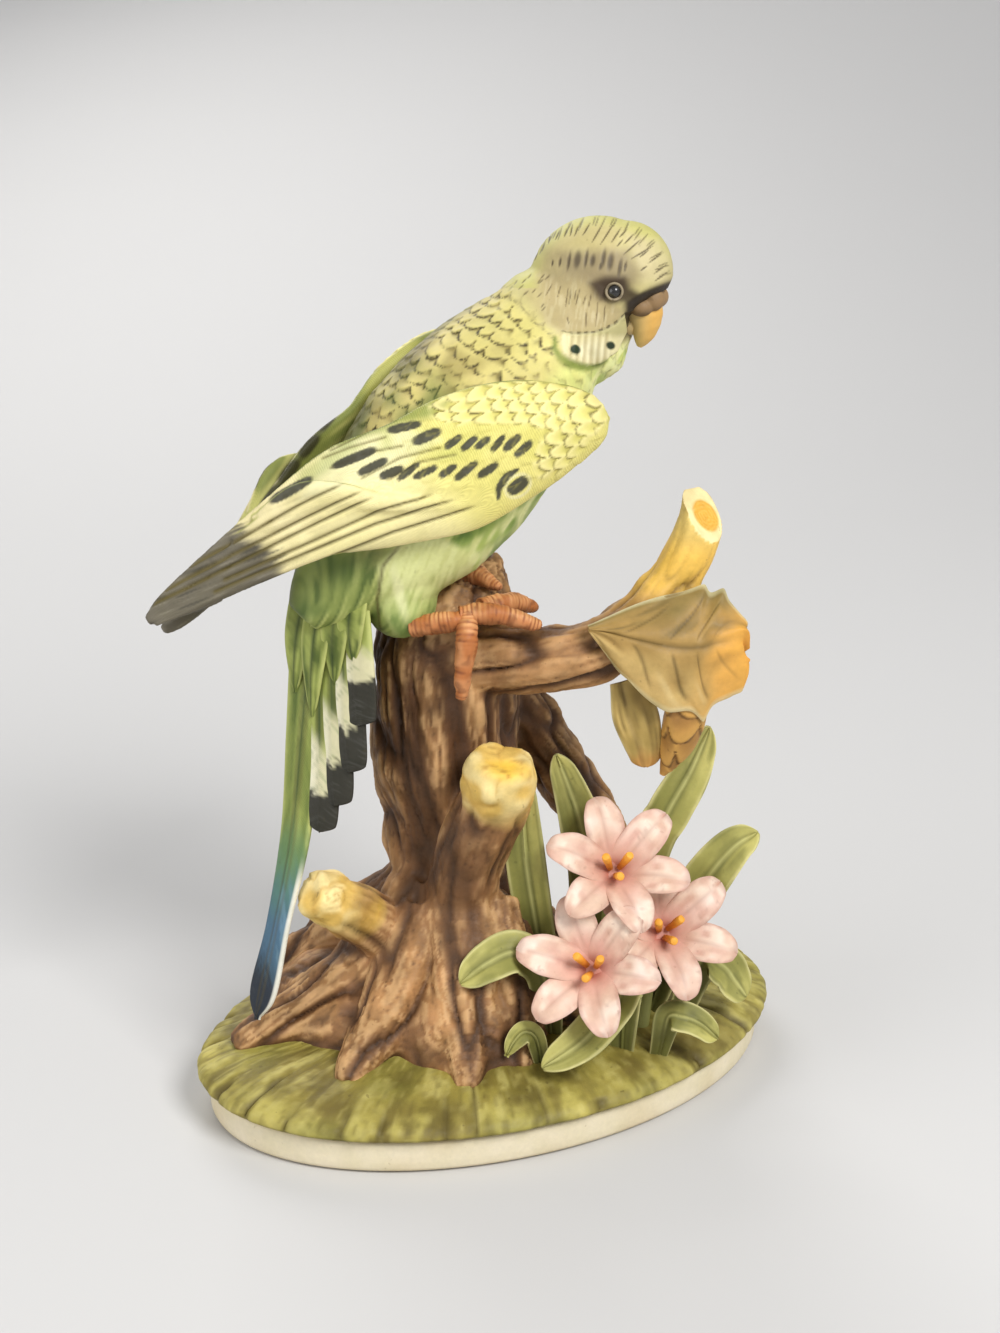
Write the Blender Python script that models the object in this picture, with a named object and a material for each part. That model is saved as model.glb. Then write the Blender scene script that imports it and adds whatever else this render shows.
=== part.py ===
"""A bisque porcelain parrot on a tree stump, with leaves and lilies on an oval mossy foot.

Lengths are in metres and Z points up. The sculpted pieces are drawn as the viewer
sees them, with X to the right and Y away, and one empty turns them all, so that
the long axis of the oval foot lies on world X.
"""

import math

import bmesh
import bpy
import numpy as np
from mathutils import Matrix, Vector

# The oval foot and the moss on it
FOOT_LENGTH = 0.120
FOOT_WIDTH = 0.078
FOOT_HEIGHT = 0.007
MOSS_HEIGHT = 0.007
MOSS_OVERHANG = 0.0026
MOSS_CLUMP = 0.0009
FOOT_TURN = math.radians(26.6)

# The hollow casting of the stump
WALL = 0.0035
VENT_DIAMETER = 0.007
STUMP_HEIGHT = 0.086
STUMP_RADIUS = 0.0145
ROOT_RADIUS = 0.008
BRANCH_RADIUS = 0.0062
STUB_RADIUS = 0.0048
SAW_SIZE = 0.016
KNOT_RADIUS = 0.0068
BARK_STRAND = 0.0044
THIN_BARK_STRAND = 0.0033
BARK_STRETCH = 4.0
BARK_LUMP = 0.0085
BARK_KNOB = 0.0036
BARK_RELIEF = 0.00155
LUMP_RELIEF = 0.00095
KNOB_RELIEF = 0.0003
KNOT_RELIEF = 0.00065
KNOT_WOOD = 0.0034
KNOT_SPLIT = 0.0024
KNOT_STRETCH = 2.0
# The height within the strands, the lumps or the splits that stays on the limb's own surface
STRAND_LEVEL = 0.65
KNOT_LEVEL = 0.54
LIMB_BLEND = 5.0

# The bird
BODY_LENGTH = 0.071
BODY_WIDTH = 0.039
BODY_DEPTH = 0.0385
HEAD_DIAMETER = 0.0246
BEAK_LENGTH = 0.0112
WING_LENGTH = 0.083
WING_THICKNESS = 0.009
LEFT_WING_DROP = 0.0062
TAIL_LENGTH = 0.095
TAIL_FEATHER_WIDTH = 0.0080
TAIL_FEATHER_THICKNESS = 0.0022
THIGH_RADIUS = 0.0072
BIRD_WALL = 0.0035
CHANNEL_RADIUS = 0.0018
TOE_RADIUS = 0.0019
BODY_HEADING = math.radians(22)
BODY_PITCH = math.radians(45)
BODY_ROLL = math.radians(8)
HEAD_TURN = math.radians(-16)

# The leaves, the bud and the lilies
LEAF_THICKNESS = 0.0016
AUTUMN_LEAF_THICKNESS = 0.0018
LILY_LEAF_WIDTH = 0.0094
BUD_RADIUS = 0.0041
PETAL_LENGTH = 0.0148
PETAL_WIDTH = 0.0076
PETAL_THICKNESS = 0.0012
STEM_RADIUS = 0.0016
STAMEN_LENGTH = 0.0052
STAMEN_RADIUS = 0.00055

# The seam that the potter's slip closes between two luted pieces
JOINT = 0.0003
MOST_MITRE = 1.5

# The share of a blade's length that its round tip takes
TIP_SHARE = 0.12

# Mesh fineness
STUMP_GRAIN = 0.0009
BIRD_GRAIN = 0.0007
PETAL_GRAIN = 0.0005
STUMP_TRIANGLES = 5600
BIRD_TRIANGLES = 4400
FLOWER_TRIANGLES = 640

GROUND = FOOT_HEIGHT + MOSS_HEIGHT
PERCH = GROUND + STUMP_HEIGHT

# The sizes at which the tables of points below were drawn
DRAWN_STUMP = Vector((0.0145, 0.0145, 0.086))
DRAWN_BODY = Vector((0.071, 0.039, 0.0385))
DRAWN_WING = 0.083


def clear_scene():
    for item in list(bpy.data.objects):
        bpy.data.objects.remove(item)


def material(name, colour, roughness):
    made = bpy.data.materials.new(name)
    made.use_nodes = True
    shader = made.node_tree.nodes["Principled BSDF"]
    shader.inputs["Base Color"].default_value = (*colour, 1.0)
    shader.inputs["Roughness"].default_value = roughness
    shader.inputs["Metallic"].default_value = 0.0
    return made


# Lofted shapes

def extruded_ring(bm, ring):
    """The next ring of a loft, in the order of the ring that it grows from."""
    edges = [bm.edges.get((ring[i - 1], ring[i])) for i in range(len(ring))]
    made = bmesh.ops.extrude_edge_only(bm, edges=edges)
    index = {vert: i for i, vert in enumerate(ring)}
    following = [None] * len(ring)
    for vert in (item for item in made["geom"] if isinstance(item, bmesh.types.BMVert)):
        for edge in vert.link_edges:
            other = edge.other_vert(vert)
            if other in index:
                following[index[other]] = vert
    return following


def loft(bm, rings):
    """A closed tube through rings of points, each ring a list of equally many points."""
    first = bmesh.ops.create_circle(bm, segments=len(rings[0]), radius=1.0)["verts"]
    for vert, point in zip(first, rings[0]):
        vert.co = point
    ring = first
    for points in rings[1:]:
        ring = extruded_ring(bm, ring)
        for vert, point in zip(ring, points):
            vert.co = point
    bmesh.ops.contextual_create(bm, geom=first)
    bmesh.ops.contextual_create(bm, geom=ring)
    return first


def oval(centre, across, upward, count=16, lift=0.0, facing=None):
    """Points round an oval; lift arches it towards facing."""
    points = []
    for i in range(count):
        angle = math.tau * i / count
        point = centre + across * math.cos(angle) + upward * math.sin(angle)
        if facing:
            point = point + facing * lift * math.sin(angle) ** 2
        points.append(point)
    return points


def smooth_path(points, steps):
    """Points along a smooth curve through the given points, which may carry radii too."""
    values = [Vector(point) for point in points]
    ends = [values[0] * 2 - values[1]] + values + [values[-1] * 2 - values[-2]]
    path = []
    for i in range(len(values) - 1):
        before, start, end, after = ends[i:i + 4]
        for step in range(steps):
            t = step / steps
            path.append(0.5 * (
                2 * start
                + (end - before) * t
                + (2 * before - 5 * start + 4 * end - after) * t ** 2
                + (3 * start - before - 3 * end + after) * t ** 3
            ))
    path.append(values[-1])
    return path


def tube(bm, points, steps=4, count=12):
    """A round limb through points of x, y, z and radius."""
    path = smooth_path(points, steps)
    centres = [value.to_3d() for value in path]
    radii = [value[3] for value in path]
    side = None
    rings = []
    for i, centre in enumerate(centres):
        ahead = centres[min(i + 1, len(centres) - 1)]
        behind = centres[max(i - 1, 0)]
        along = (ahead - behind).normalized()
        side = along.orthogonal() if side is None else side - along * side.dot(along)
        side.normalize()
        rings.append(oval(centre, side * radii[i], along.cross(side) * radii[i], count))
    loft(bm, rings)


def blade(bm, points, widths, thickness, facing, cup=0.0, steps=4, count=12):
    """A leaf, petal or feather along points, with its broad side towards facing."""
    path = smooth_path([(*point, width) for point, width in zip(points, widths)], steps)
    centres = [value.to_3d() for value in path]
    rings = []
    for i, centre in enumerate(centres):
        ahead = centres[min(i + 1, len(centres) - 1)]
        behind = centres[max(i - 1, 0)]
        along = (ahead - behind).normalized()
        across = along.cross(facing).normalized()
        outward = across.cross(along).normalized()
        past = max(i / (len(centres) - 1) - 1 + TIP_SHARE, 0) / TIP_SHARE
        rounding = math.sqrt(max(1 - past ** 2, 0.04))
        half = max(path[i][3] / 2 * rounding, thickness / 3)
        deep = min(thickness / 2, half)
        ring = []
        for k in range(count):
            angle = math.tau * k / count
            reach = math.cos(angle)
            lift = cup * half * reach ** 2
            ring.append(centre + across * half * reach
                        + outward * (deep * math.sin(angle) + lift))
        rings.append(ring)
    loft(bm, rings)


def ball(bm, centre, axes, radii):
    """An ellipsoid with the given radii along three axes."""
    made = bmesh.ops.create_icosphere(bm, subdivisions=3, radius=1.0)["verts"]
    for vert in made:
        x, y, z = vert.co
        vert.co = centre + axes[0] * x * radii[0] + axes[1] * y * radii[1] + axes[2] * z * radii[2]


# Objects

def new_object(name, bm, paint=None):
    bmesh.ops.recalc_face_normals(bm, faces=bm.faces)
    mesh = bpy.data.meshes.new(name)
    bm.to_mesh(mesh)
    bm.free()
    made = bpy.data.objects.new(name, mesh)
    bpy.context.scene.collection.objects.link(made)
    if paint:
        mesh.materials.append(paint)
    return made


def settle(item):
    """Applies an object's modifiers to its mesh."""
    bpy.context.view_layer.update()
    evaluated = item.evaluated_get(bpy.context.evaluated_depsgraph_get())
    mesh = bpy.data.meshes.new_from_object(evaluated)
    item.modifiers.clear()
    item.data = mesh


def fuse(item, grain, rounds=3):
    """Joins overlapping lofts into one skin."""
    remesh = item.modifiers.new("Fuse", "REMESH")
    remesh.mode = "VOXEL"
    remesh.voxel_size = grain
    smooth = item.modifiers.new("Soften", "SMOOTH")
    smooth.factor = 0.5
    smooth.iterations = rounds
    settle(item)
    keep_largest(item)


def thin(item, triangles):
    """Thins a mesh to about so many triangles."""
    count = sum(len(face.vertices) - 2 for face in item.data.polygons)
    fewer = item.modifiers.new("Thin", "DECIMATE")
    fewer.ratio = min(1.0, triangles / count)
    settle(item)


def keep_largest(item):
    """Drops loose crumbs and keeps the largest body."""
    bm = bmesh.new()
    bm.from_mesh(item.data)
    unseen = set(bm.verts)
    bodies = []
    while unseen:
        front = [unseen.pop()]
        body = set(front)
        while front:
            vert = front.pop()
            for edge in vert.link_edges:
                other = edge.other_vert(vert)
                if other in unseen:
                    unseen.remove(other)
                    body.add(other)
                    front.append(other)
        bodies.append(body)
    bodies.sort(key=len)
    for body in bodies[:-1]:
        bmesh.ops.delete(bm, geom=list(body), context="VERTS")
    bm.to_mesh(item.data)
    bm.free()


def combine(item, other, operation):
    """Adds another object to this one or cuts it away, and removes the other."""
    change = item.modifiers.new("Combine", "BOOLEAN")
    change.operation = operation
    change.object = other
    settle(item)
    bpy.data.objects.remove(other)


def seat(item, luted):
    """Cuts the seat of a luted piece, wider than the piece by the joint."""
    bm = bmesh.new()
    bm.from_mesh(luted.data)
    bm.normal_update()
    for vert in bm.verts:
        vert.co += vert.normal * JOINT * min(vert.calc_shell_factor(), MOST_MITRE)
    combine(item, new_object("seat", bm), "DIFFERENCE")
    keep_largest(item)


def finish(item, pivot, sharp=50):
    """Cleans and shades a finished piece and hangs it on the turned empty."""
    bm = bmesh.new()
    bm.from_mesh(item.data)
    bmesh.ops.remove_doubles(bm, verts=bm.verts, dist=1e-6)
    bmesh.ops.dissolve_degenerate(bm, dist=1e-6, edges=bm.edges)
    bmesh.ops.triangulate(bm, faces=bm.faces)
    bm.to_mesh(item.data)
    bm.free()
    item.data.shade_smooth()
    item.data.set_sharp_from_angle(angle=math.radians(sharp))
    item.parent = pivot


# The foot, the moss and the stump

def foot_oval(inset, height, count=52):
    """Points of the foot's outline, set in by an inset; moss clumps swell its upper part."""
    turn = Matrix.Rotation(FOOT_TURN, 3, "Z")
    points = []
    for i in range(count):
        angle = math.tau * i / count
        clump = 0.0
        if height > FOOT_HEIGHT:
            wave = abs(math.sin(angle * 13 + 2 * math.sin(angle * 3)))
            clump = MOSS_CLUMP * (wave - 0.5)
        reach = max(1 - inset / (FOOT_WIDTH / 2), 0.02)
        half_length = (FOOT_LENGTH / 2 - inset) + clump
        half_width = (FOOT_WIDTH / 2) * reach + clump
        point = Vector((half_length * math.cos(angle), half_width * math.sin(angle), height))
        points.append(turn @ point)
    return points


def mossy_foot():
    profile = [
        (0.0012, 0.0),
        (0.0, 0.0009),
        (0.0, FOOT_HEIGHT - 0.0006),
        (-MOSS_OVERHANG * 0.8, FOOT_HEIGHT + 0.0002),
        (-MOSS_OVERHANG, FOOT_HEIGHT + 0.0018),
        (-MOSS_OVERHANG * 0.55, FOOT_HEIGHT + 0.0036),
        (0.0015, GROUND - 0.0021),
        (0.007, GROUND - 0.0008),
        (0.015, GROUND),
        (0.025, GROUND + 0.0007),
        (0.034, GROUND + 0.0010),
    ]
    bm = bmesh.new()
    loft(bm, [foot_oval(inset, height) for inset, height in profile])
    return new_object("stump_and_base", bm)


TRUNK = [
    (-0.008, 0.003, -0.05, 1.32),
    (-0.009, 0.004, 0.07, 1.12),
    (-0.009, 0.005, 0.19, 0.97),
    (-0.0085, 0.006, 0.30, 0.86),
    (-0.0085, 0.006, 0.44, 0.87),
    (-0.009, 0.006, 0.58, 0.98),
    (-0.009, 0.006, 0.75, 1.02),
    (-0.008, 0.0065, 0.88, 0.98),
    (-0.005, 0.009, 0.98, 0.72),
    (-0.0025, 0.010, 1.04, 0.42),
    (-0.001, 0.010, 1.075, 0.22),
]

ROOTS = [
    [(-0.010, 0.000, 0.024, 1.3), (-0.022, -0.005, 0.010, 1.15), (-0.034, -0.011, 0.004, 0.85),
     (-0.045, -0.0155, 0.000, 0.6), (-0.051, -0.018, -0.002, 0.35)],
    [(-0.014, 0.005, 0.022, 1.1), (-0.027, 0.008, 0.012, 0.9), (-0.037, 0.008, 0.006, 0.75),
     (-0.046, 0.005, 0.001, 0.5)],
    [(-0.012, -0.006, 0.022, 1.0), (-0.020, -0.018, 0.006, 0.8), (-0.026, -0.027, 0.000, 0.5),
     (-0.028, -0.032, -0.002, 0.3)],
    [(-0.006, -0.006, 0.026, 1.1), (-0.005, -0.019, 0.008, 0.85), (-0.0045, -0.029, 0.000, 0.5),
     (-0.0045, -0.034, -0.002, 0.3)],
    [(0.000, -0.006, 0.024, 0.95), (0.004, -0.016, 0.008, 0.75), (0.0055, -0.023, 0.000, 0.45),
     (0.006, -0.027, -0.002, 0.3)],
    [(0.001, 0.000, 0.020, 1.0), (0.011, -0.006, 0.006, 0.75), (0.020, -0.011, 0.000, 0.45)],
    [(-0.008, 0.010, 0.020, 1.0), (-0.012, 0.022, 0.006, 0.8), (-0.018, 0.032, -0.001, 0.4)],
    [(0.000, 0.010, 0.020, 1.0), (0.008, 0.021, 0.005, 0.8), (0.016, 0.029, -0.001, 0.4)],
]

# Each limb: points of x, y, share of the stump's height, and share of the limb's radius
BRANCH = [(-0.006, 0.000, 0.86, 1.15), (0.006, -0.005, 0.88, 1.05), (0.016, -0.0065, 0.895, 0.95),
          (0.024, -0.006, 0.925, 0.95), (0.030, -0.004, 0.97, 0.9)]
STUB = [(0.024, -0.0055, 0.93, 1.15), (0.031, -0.0035, 0.995, 1.1), (0.037, -0.001, 1.09, 1.0),
        (0.0402, 0.000, 1.19, 0.95), (0.0408, 0.000, 1.245, 0.95)]
BACK_LIMB = [(0.000, 0.008, 0.80, 1.0), (0.008, 0.014, 0.63, 0.95), (0.015, 0.019, 0.49, 0.9),
             (0.022, 0.024, 0.33, 0.85), (0.030, 0.027, 0.17, 0.85), (0.036, 0.027, -0.02, 1.1)]
FRONT_LIMB = [(-0.007, -0.006, 0.12, 1.1), (-0.006, -0.009, 0.36, 1.0), (-0.001, -0.011, 0.52, 1.0),
              (0.0012, -0.0125, 0.585, 1.0)]
FRONT_KNOT = [(0.0012, -0.0125, 0.585, 1.0), (0.0015, -0.0145, 0.63, 1.08), (0.0022, -0.016, 0.69, 0.85)]
SIDE_LIMB = [(-0.015, -0.004, 0.12, 1.0), (-0.022, -0.008, 0.22, 0.95), (-0.028, -0.012, 0.30, 0.9)]
SIDE_KNOT = [(-0.026, -0.0110, 0.28, 0.88), (-0.031, -0.0135, 0.33, 0.88), (-0.0352, -0.0155, 0.365, 0.70)]

# The mound where the roots spread: centre above the ground and radii
MOUNDS = [((-0.021, -0.005, -0.002), (0.027, 0.019, 0.015)), ((-0.006, -0.011, -0.002), (0.018, 0.019, 0.018)),
          ((-0.008, 0.010, -0.002), (0.021, 0.018, 0.015))]


def on_stump(points, radius):
    """Points with shares of the stump's height and of a radius, as real sizes."""
    stout = STUMP_RADIUS / DRAWN_STUMP.x
    return [(x * stout, y * stout, GROUND + share * STUMP_HEIGHT, part * radius)
            for x, y, share, part in points]


def limbs():
    """Every limb's kind with its points of x, y, z and radius."""
    made = [("trunk", on_stump(TRUNK, STUMP_RADIUS))]
    for root in ROOTS:
        made.append(("root", [(x, y, GROUND + z, part * ROOT_RADIUS) for x, y, z, part in root]))
    made += [
        ("branch", on_stump(BRANCH, BRANCH_RADIUS)),
        ("stub", on_stump(STUB, STUB_RADIUS)),
        ("back", on_stump(BACK_LIMB, BRANCH_RADIUS)),
        ("front", on_stump(FRONT_LIMB, KNOT_RADIUS)),
        ("knot", on_stump(FRONT_KNOT, KNOT_RADIUS)),
        ("side", on_stump(SIDE_LIMB, BRANCH_RADIUS)),
        ("knot", on_stump(SIDE_KNOT, BRANCH_RADIUS)),
    ]
    return made


def stump(bm):
    """The trunk with its roots and limbs, standing in the moss."""
    for kind, line in limbs():
        tube(bm, line, steps=4, count=20 if kind == "trunk" else 14)
    upright = (Vector((1, 0, 0)), Vector((0, 1, 0)), Vector((0, 0, 1)))
    for (x, y, z), radii in MOUNDS:
        ball(bm, Vector((x, y, GROUND + z)), upright, radii)


def saw(item, place, facing):
    """Cuts a limb off flat at a place, square to facing."""
    bm = bmesh.new()
    made = bmesh.ops.create_cube(bm, size=SAW_SIZE)["verts"]
    out = Vector(facing).normalized()
    bmesh.ops.rotate(bm, verts=made, matrix=out.to_track_quat("Z", "Y").to_matrix())
    bmesh.ops.translate(bm, verts=made, vec=place + out * SAW_SIZE / 2)
    combine(item, new_object("saw", bm), "DIFFERENCE")
    keep_largest(item)


def clip_below(item, height):
    """Cuts away what lies below a height and closes the cut."""
    bm = bmesh.new()
    bm.from_mesh(item.data)
    bmesh.ops.bisect_plane(bm, geom=[*bm.verts, *bm.edges, *bm.faces], dist=1e-7,
                           plane_co=(0, 0, height), plane_no=(0, 0, 1), clear_inner=True)
    bmesh.ops.holes_fill(bm, edges=bm.edges, sides=0)
    bm.to_mesh(item.data)
    bm.free()


def chance(*cells):
    """A fixed number from 0 to 1 for each whole-number cell."""
    mixed = np.zeros(np.shape(cells[0]), np.int64)
    for cell, factor in zip(cells, (374761393, 668265263, 1274126177, 951274213)):
        mixed = mixed + np.asarray(cell).astype(np.int64) * factor
    mixed = ((mixed ^ (mixed >> 13)) * 1274126177) & 0x7FFFFFFF
    mixed = ((mixed ^ (mixed >> 15)) * 2246822519) & 0x7FFFFFFF
    return (mixed & 0xFFFF) / 65535.0


def unevenness(points, size, seed):
    """Smooth values from -1 to 1 with bumps about one size apart."""
    place = points / size + seed * 7.31
    cell = np.floor(place)
    part = place - cell
    part = part * part * (3 - 2 * part)
    total = np.zeros(len(points))
    for corner in range(8):
        shift = np.array([corner & 1, corner >> 1 & 1, corner >> 2])
        weight = np.prod(np.where(shift, part, 1 - part), axis=1)
        at = cell + shift
        total += weight * chance(at[:, 0], at[:, 1], at[:, 2], seed + 5)
    return total * 2 - 1


def rise(low, high, value):
    """0 below low, 1 above high, and a smooth rise between."""
    share = np.clip((value - low) / (high - low), 0.0, 1.0)
    return share * share * (3 - 2 * share)


def limb_places(points, line):
    """For every point: its distance in limb radii, its angle, its way along and the limb's radius."""
    path = smooth_path(line, 6)
    centres = np.array([value.to_3d() for value in path])
    radii = np.array([value[3] for value in path])
    tangents = np.gradient(centres, axis=0)
    tangents /= np.linalg.norm(tangents, axis=1)[:, None]
    side = Vector(tangents[0]).orthogonal()
    sides = []
    for tangent in tangents:
        along = Vector(tangent)
        side = (side - along * side.dot(along)).normalized()
        sides.append(side.copy())
    sides = np.array(sides)
    ups = np.cross(tangents, sides)
    travelled = np.r_[0, np.cumsum(np.linalg.norm(centres[1:] - centres[:-1], axis=1))]
    best = np.full(len(points), np.inf)
    nearest = np.zeros(len(points), int)
    for i, (centre, radius) in enumerate(zip(centres, radii)):
        share = np.linalg.norm(points - centre, axis=1) / radius
        closer = share < best
        best[closer] = share[closer]
        nearest[closer] = i
    off = points - centres[nearest]
    angle = np.arctan2((off * ups[nearest]).sum(1), (off * sides[nearest]).sum(1))
    way = travelled[nearest] + (off * tangents[nearest]).sum(1)
    return best, angle, way, radii[nearest]


def strands(angle, way, radius, spacing, stretch, seed):
    """Long strands of bark: 0 in the creases between them and 1 on their backs."""
    twist = angle + way * 9
    across = np.c_[np.cos(twist) * radius / spacing, np.sin(twist) * radius / spacing,
                   way / (spacing * stretch)]
    wave = unevenness(across, 1.0, seed)
    return np.clip(np.abs(wave) / 0.55, 0, 1) ** 0.75


def bark(item):
    """Raises long strands along the trunk and limbs, and lumps on the knots."""
    flat = np.empty(len(item.data.vertices) * 3, np.float32)
    item.data.vertices.foreach_get("co", flat)
    points = flat.reshape(-1, 3).astype(float)
    item.data.vertex_normals.foreach_get("vector", flat)
    normals = flat.reshape(-1, 3).astype(float)
    places = [(kind, *limb_places(points, line)) for kind, line in limbs()]
    closest = np.min([entry[1] for entry in places], axis=0)
    total = np.zeros(len(points))
    relief = np.zeros(len(points))
    knot = np.zeros(len(points))
    smooth_wood = np.zeros(len(points))
    for number, (kind, gap, angle, way, radius) in enumerate(places):
        weight = np.exp(-LIMB_BLEND * (gap - closest))
        spacing = BARK_STRAND if kind in ("trunk", "root", "front", "side") else THIN_BARK_STRAND
        total += weight
        relief += weight * strands(angle, way, radius, spacing, BARK_STRETCH, number * 3)
        knot += weight * (kind == "knot")
        smooth_wood += weight * (kind == "stub")
    relief /= total
    knot = rise(0.35, 0.75, knot / total)
    high = rise(1.03, 1.10, (points[:, 2] - GROUND) / STUMP_HEIGHT)
    plain = (1 - knot) * (1 - 0.75 * high * smooth_wood / total)
    lumps = unevenness(points, BARK_LUMP, 11)
    knobs = unevenness(points, BARK_KNOB, 12)
    depth = plain * (BARK_RELIEF * (relief - STRAND_LEVEL) + LUMP_RELIEF * lumps + KNOB_RELIEF * knobs)
    split = strands(*places[0][2:], KNOT_SPLIT, KNOT_STRETCH, 77)
    depth += knot * KNOT_RELIEF * (unevenness(points, KNOT_WOOD, 13) + 0.85 * split - KNOT_LEVEL)
    buried = 0.25 + 0.75 * rise(GROUND - 0.002, GROUND + 0.006, points[:, 2])
    points += normals * (depth * buried)[:, None]
    item.data.vertices.foreach_set("co", points.astype(np.float32).ravel())
    item.data.update()


def hollow(item):
    """Empties the casting down to its wall and opens the vent under the foot."""
    bm = bmesh.new()
    loft(bm, [foot_oval(WALL, WALL), foot_oval(WALL, FOOT_HEIGHT),
              foot_oval(WALL + 0.004, GROUND - WALL)])
    combine(item, new_object("cavity", bm), "DIFFERENCE")
    bm = bmesh.new()
    core = [(x, y, z, r - WALL - 0.0008) for x, y, z, r in on_stump(TRUNK[1:9], STUMP_RADIUS)]
    core[0] = (*core[0][:2], GROUND - WALL - 0.001, core[0][3])
    tube(bm, core, steps=1, count=12)
    combine(item, new_object("core", bm), "DIFFERENCE")
    bm = bmesh.new()
    made = bmesh.ops.create_cone(bm, cap_ends=True, segments=24, radius1=VENT_DIAMETER / 2,
                                 radius2=VENT_DIAMETER / 2, depth=WALL * 3)["verts"]
    place = Matrix.Rotation(FOOT_TURN, 3, "Z") @ Vector((FOOT_LENGTH / 4, 0, 0))
    bmesh.ops.translate(bm, verts=made, vec=place)
    combine(item, new_object("vent", bm), "DIFFERENCE")


def stump_and_base():
    base = mossy_foot()
    bm = bmesh.new()
    stump(bm)
    trunk = new_object("trunk", bm)
    fuse(trunk, STUMP_GRAIN, rounds=5)
    bark(trunk)
    thin(trunk, STUMP_TRIANGLES)
    x, y, z, radius = on_stump(STUB[-1:], STUB_RADIUS)[0]
    saw(trunk, Vector((x, y, z - radius)), (0.62, -0.50, 0.60))
    clip_below(trunk, FOOT_HEIGHT)
    combine(base, trunk, "UNION")
    hollow(base)
    keep_largest(base)
    base.data.materials.append(material("stump bisque", (0.30, 0.15, 0.07), 0.75))
    return base


# The bird

def bird_axes():
    """The bird's own axes: towards the head, its right side, and its back."""
    ahead = Vector((math.cos(BODY_HEADING) * math.cos(BODY_PITCH),
                    math.sin(BODY_HEADING) * math.cos(BODY_PITCH), math.sin(BODY_PITCH)))
    level = Vector((math.sin(BODY_HEADING), -math.cos(BODY_HEADING), 0))
    upright = level.cross(ahead)
    right = level * math.cos(BODY_ROLL) - upright * math.sin(BODY_ROLL)
    back = upright * math.cos(BODY_ROLL) + level * math.sin(BODY_ROLL)
    return ahead, right, back


AHEAD, RIGHT, BACK = bird_axes()
BODY_CENTRE = Vector((-0.009, 0.002, PERCH + 0.027))
CHANNEL_FOOT = (-0.0060, 0.0080)

# Along the body: place, height of the back, depth of the belly, half width
TORSO = [
    (-0.040, 0.004, 0.003, 0.004),
    (-0.036, 0.0065, 0.006, 0.0070),
    (-0.030, 0.009, 0.010, 0.0100),
    (-0.022, 0.0125, 0.015, 0.0140),
    (-0.012, 0.016, 0.0185, 0.0175),
    (0.000, 0.018, 0.0192, 0.0195),
    (0.010, 0.0178, 0.0178, 0.0195),
    (0.020, 0.0160, 0.0152, 0.0182),
    (0.028, 0.0135, 0.0118, 0.0155),
    (0.034, 0.0105, 0.0090, 0.0120),
    (0.038, 0.0070, 0.0060, 0.0075),
]

# The near wing's upper and lower edge with the share of its thickness
WING = [
    ((0.0255, 0.0210, -0.0020), (0.0245, 0.0220, -0.0075), 0.35),
    ((0.0235, 0.0205, 0.0030), (0.0200, 0.0235, -0.0085), 0.85),
    ((0.0185, 0.0190, 0.0100), (0.0120, 0.0240, -0.0070), 1.0),
    ((0.0126, 0.0170, 0.0150), (0.0040, 0.0235, -0.0050), 0.95),
    ((0.0050, 0.0150, 0.0190), (-0.0066, 0.0215, -0.0018), 0.80),
    ((-0.0038, 0.0125, 0.0215), (-0.0180, 0.0180, 0.0060), 0.62),
    ((-0.0144, 0.0090, 0.0255), (-0.0290, 0.0140, 0.0138), 0.48),
    ((-0.0280, 0.0055, 0.0262), (-0.0420, 0.0080, 0.0178), 0.36),
    ((-0.0410, 0.0035, 0.0270), (-0.0500, 0.0050, 0.0205), 0.30),
    ((-0.0530, 0.0022, 0.0276), (-0.0560, 0.0026, 0.0232), 0.25),
    ((-0.0585, 0.0018, 0.0268), (-0.0590, 0.0020, 0.0252), 0.20),
]


def on_body(along, aside, above):
    """A point on the bird, from its own axes, at the body's named sizes."""
    return (BODY_CENTRE + AHEAD * along * BODY_LENGTH / DRAWN_BODY.x
            + RIGHT * aside * BODY_WIDTH / DRAWN_BODY.y
            + BACK * above * BODY_DEPTH / DRAWN_BODY.z)


def torso(bm):
    rings = []
    wide = RIGHT * BODY_WIDTH / DRAWN_BODY.y
    for along, height, depth, half in TORSO:
        centre = on_body(along, 0, (height - depth) / 2)
        tall = BACK * (height + depth) / 2 * BODY_DEPTH / DRAWN_BODY.z
        rings.append(oval(centre, wide * half, tall, 24))
    loft(bm, rings)


def wing_point(along, aside, above, side):
    """A point of a wing, whose length is counted back from the shoulder; the left wing lies lower."""
    shoulder = WING[0][0][0]
    back = shoulder - along
    reach = shoulder - back * WING_LENGTH / DRAWN_WING
    drop = LEFT_WING_DROP * min(1.0, back / 0.030) if side < 0 else 0.0
    return on_body(reach, aside * side, above - drop)


def wing(bm, side):
    """One folded wing; side is 1 for the right wing and -1 for the left."""
    rings = []
    for upper, lower, share in WING:
        top = wing_point(*upper, side)
        low = wing_point(*lower, side)
        chord = (top - low) / 2
        outward = (RIGHT * side - chord * (RIGHT * side).dot(chord) / chord.length_squared)
        half = outward.normalized() * share * WING_THICKNESS / 2
        rings.append(oval((top + low) / 2, chord, half, 20, lift=share * 0.0012,
                          facing=outward.normalized()))
    loft(bm, rings)
    for k in range(6):
        share = k / 5
        start = wing_point(-0.004 - 0.010 * share, 0.0225 - 0.0035 * share, 0.004 + 0.010 * share, side)
        middle = wing_point(-0.028 + 0.006 * share, 0.0125, 0.0158 + 0.0085 * share, side)
        tip = wing_point(-0.0580 + 0.026 * share, 0.0030 + 0.0035 * share, 0.0252 + 0.0006 * share, side)
        blade(bm, [start, middle, tip], [0.003, 0.0046, 0.0016], 0.0022, RIGHT * side, count=10)


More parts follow.
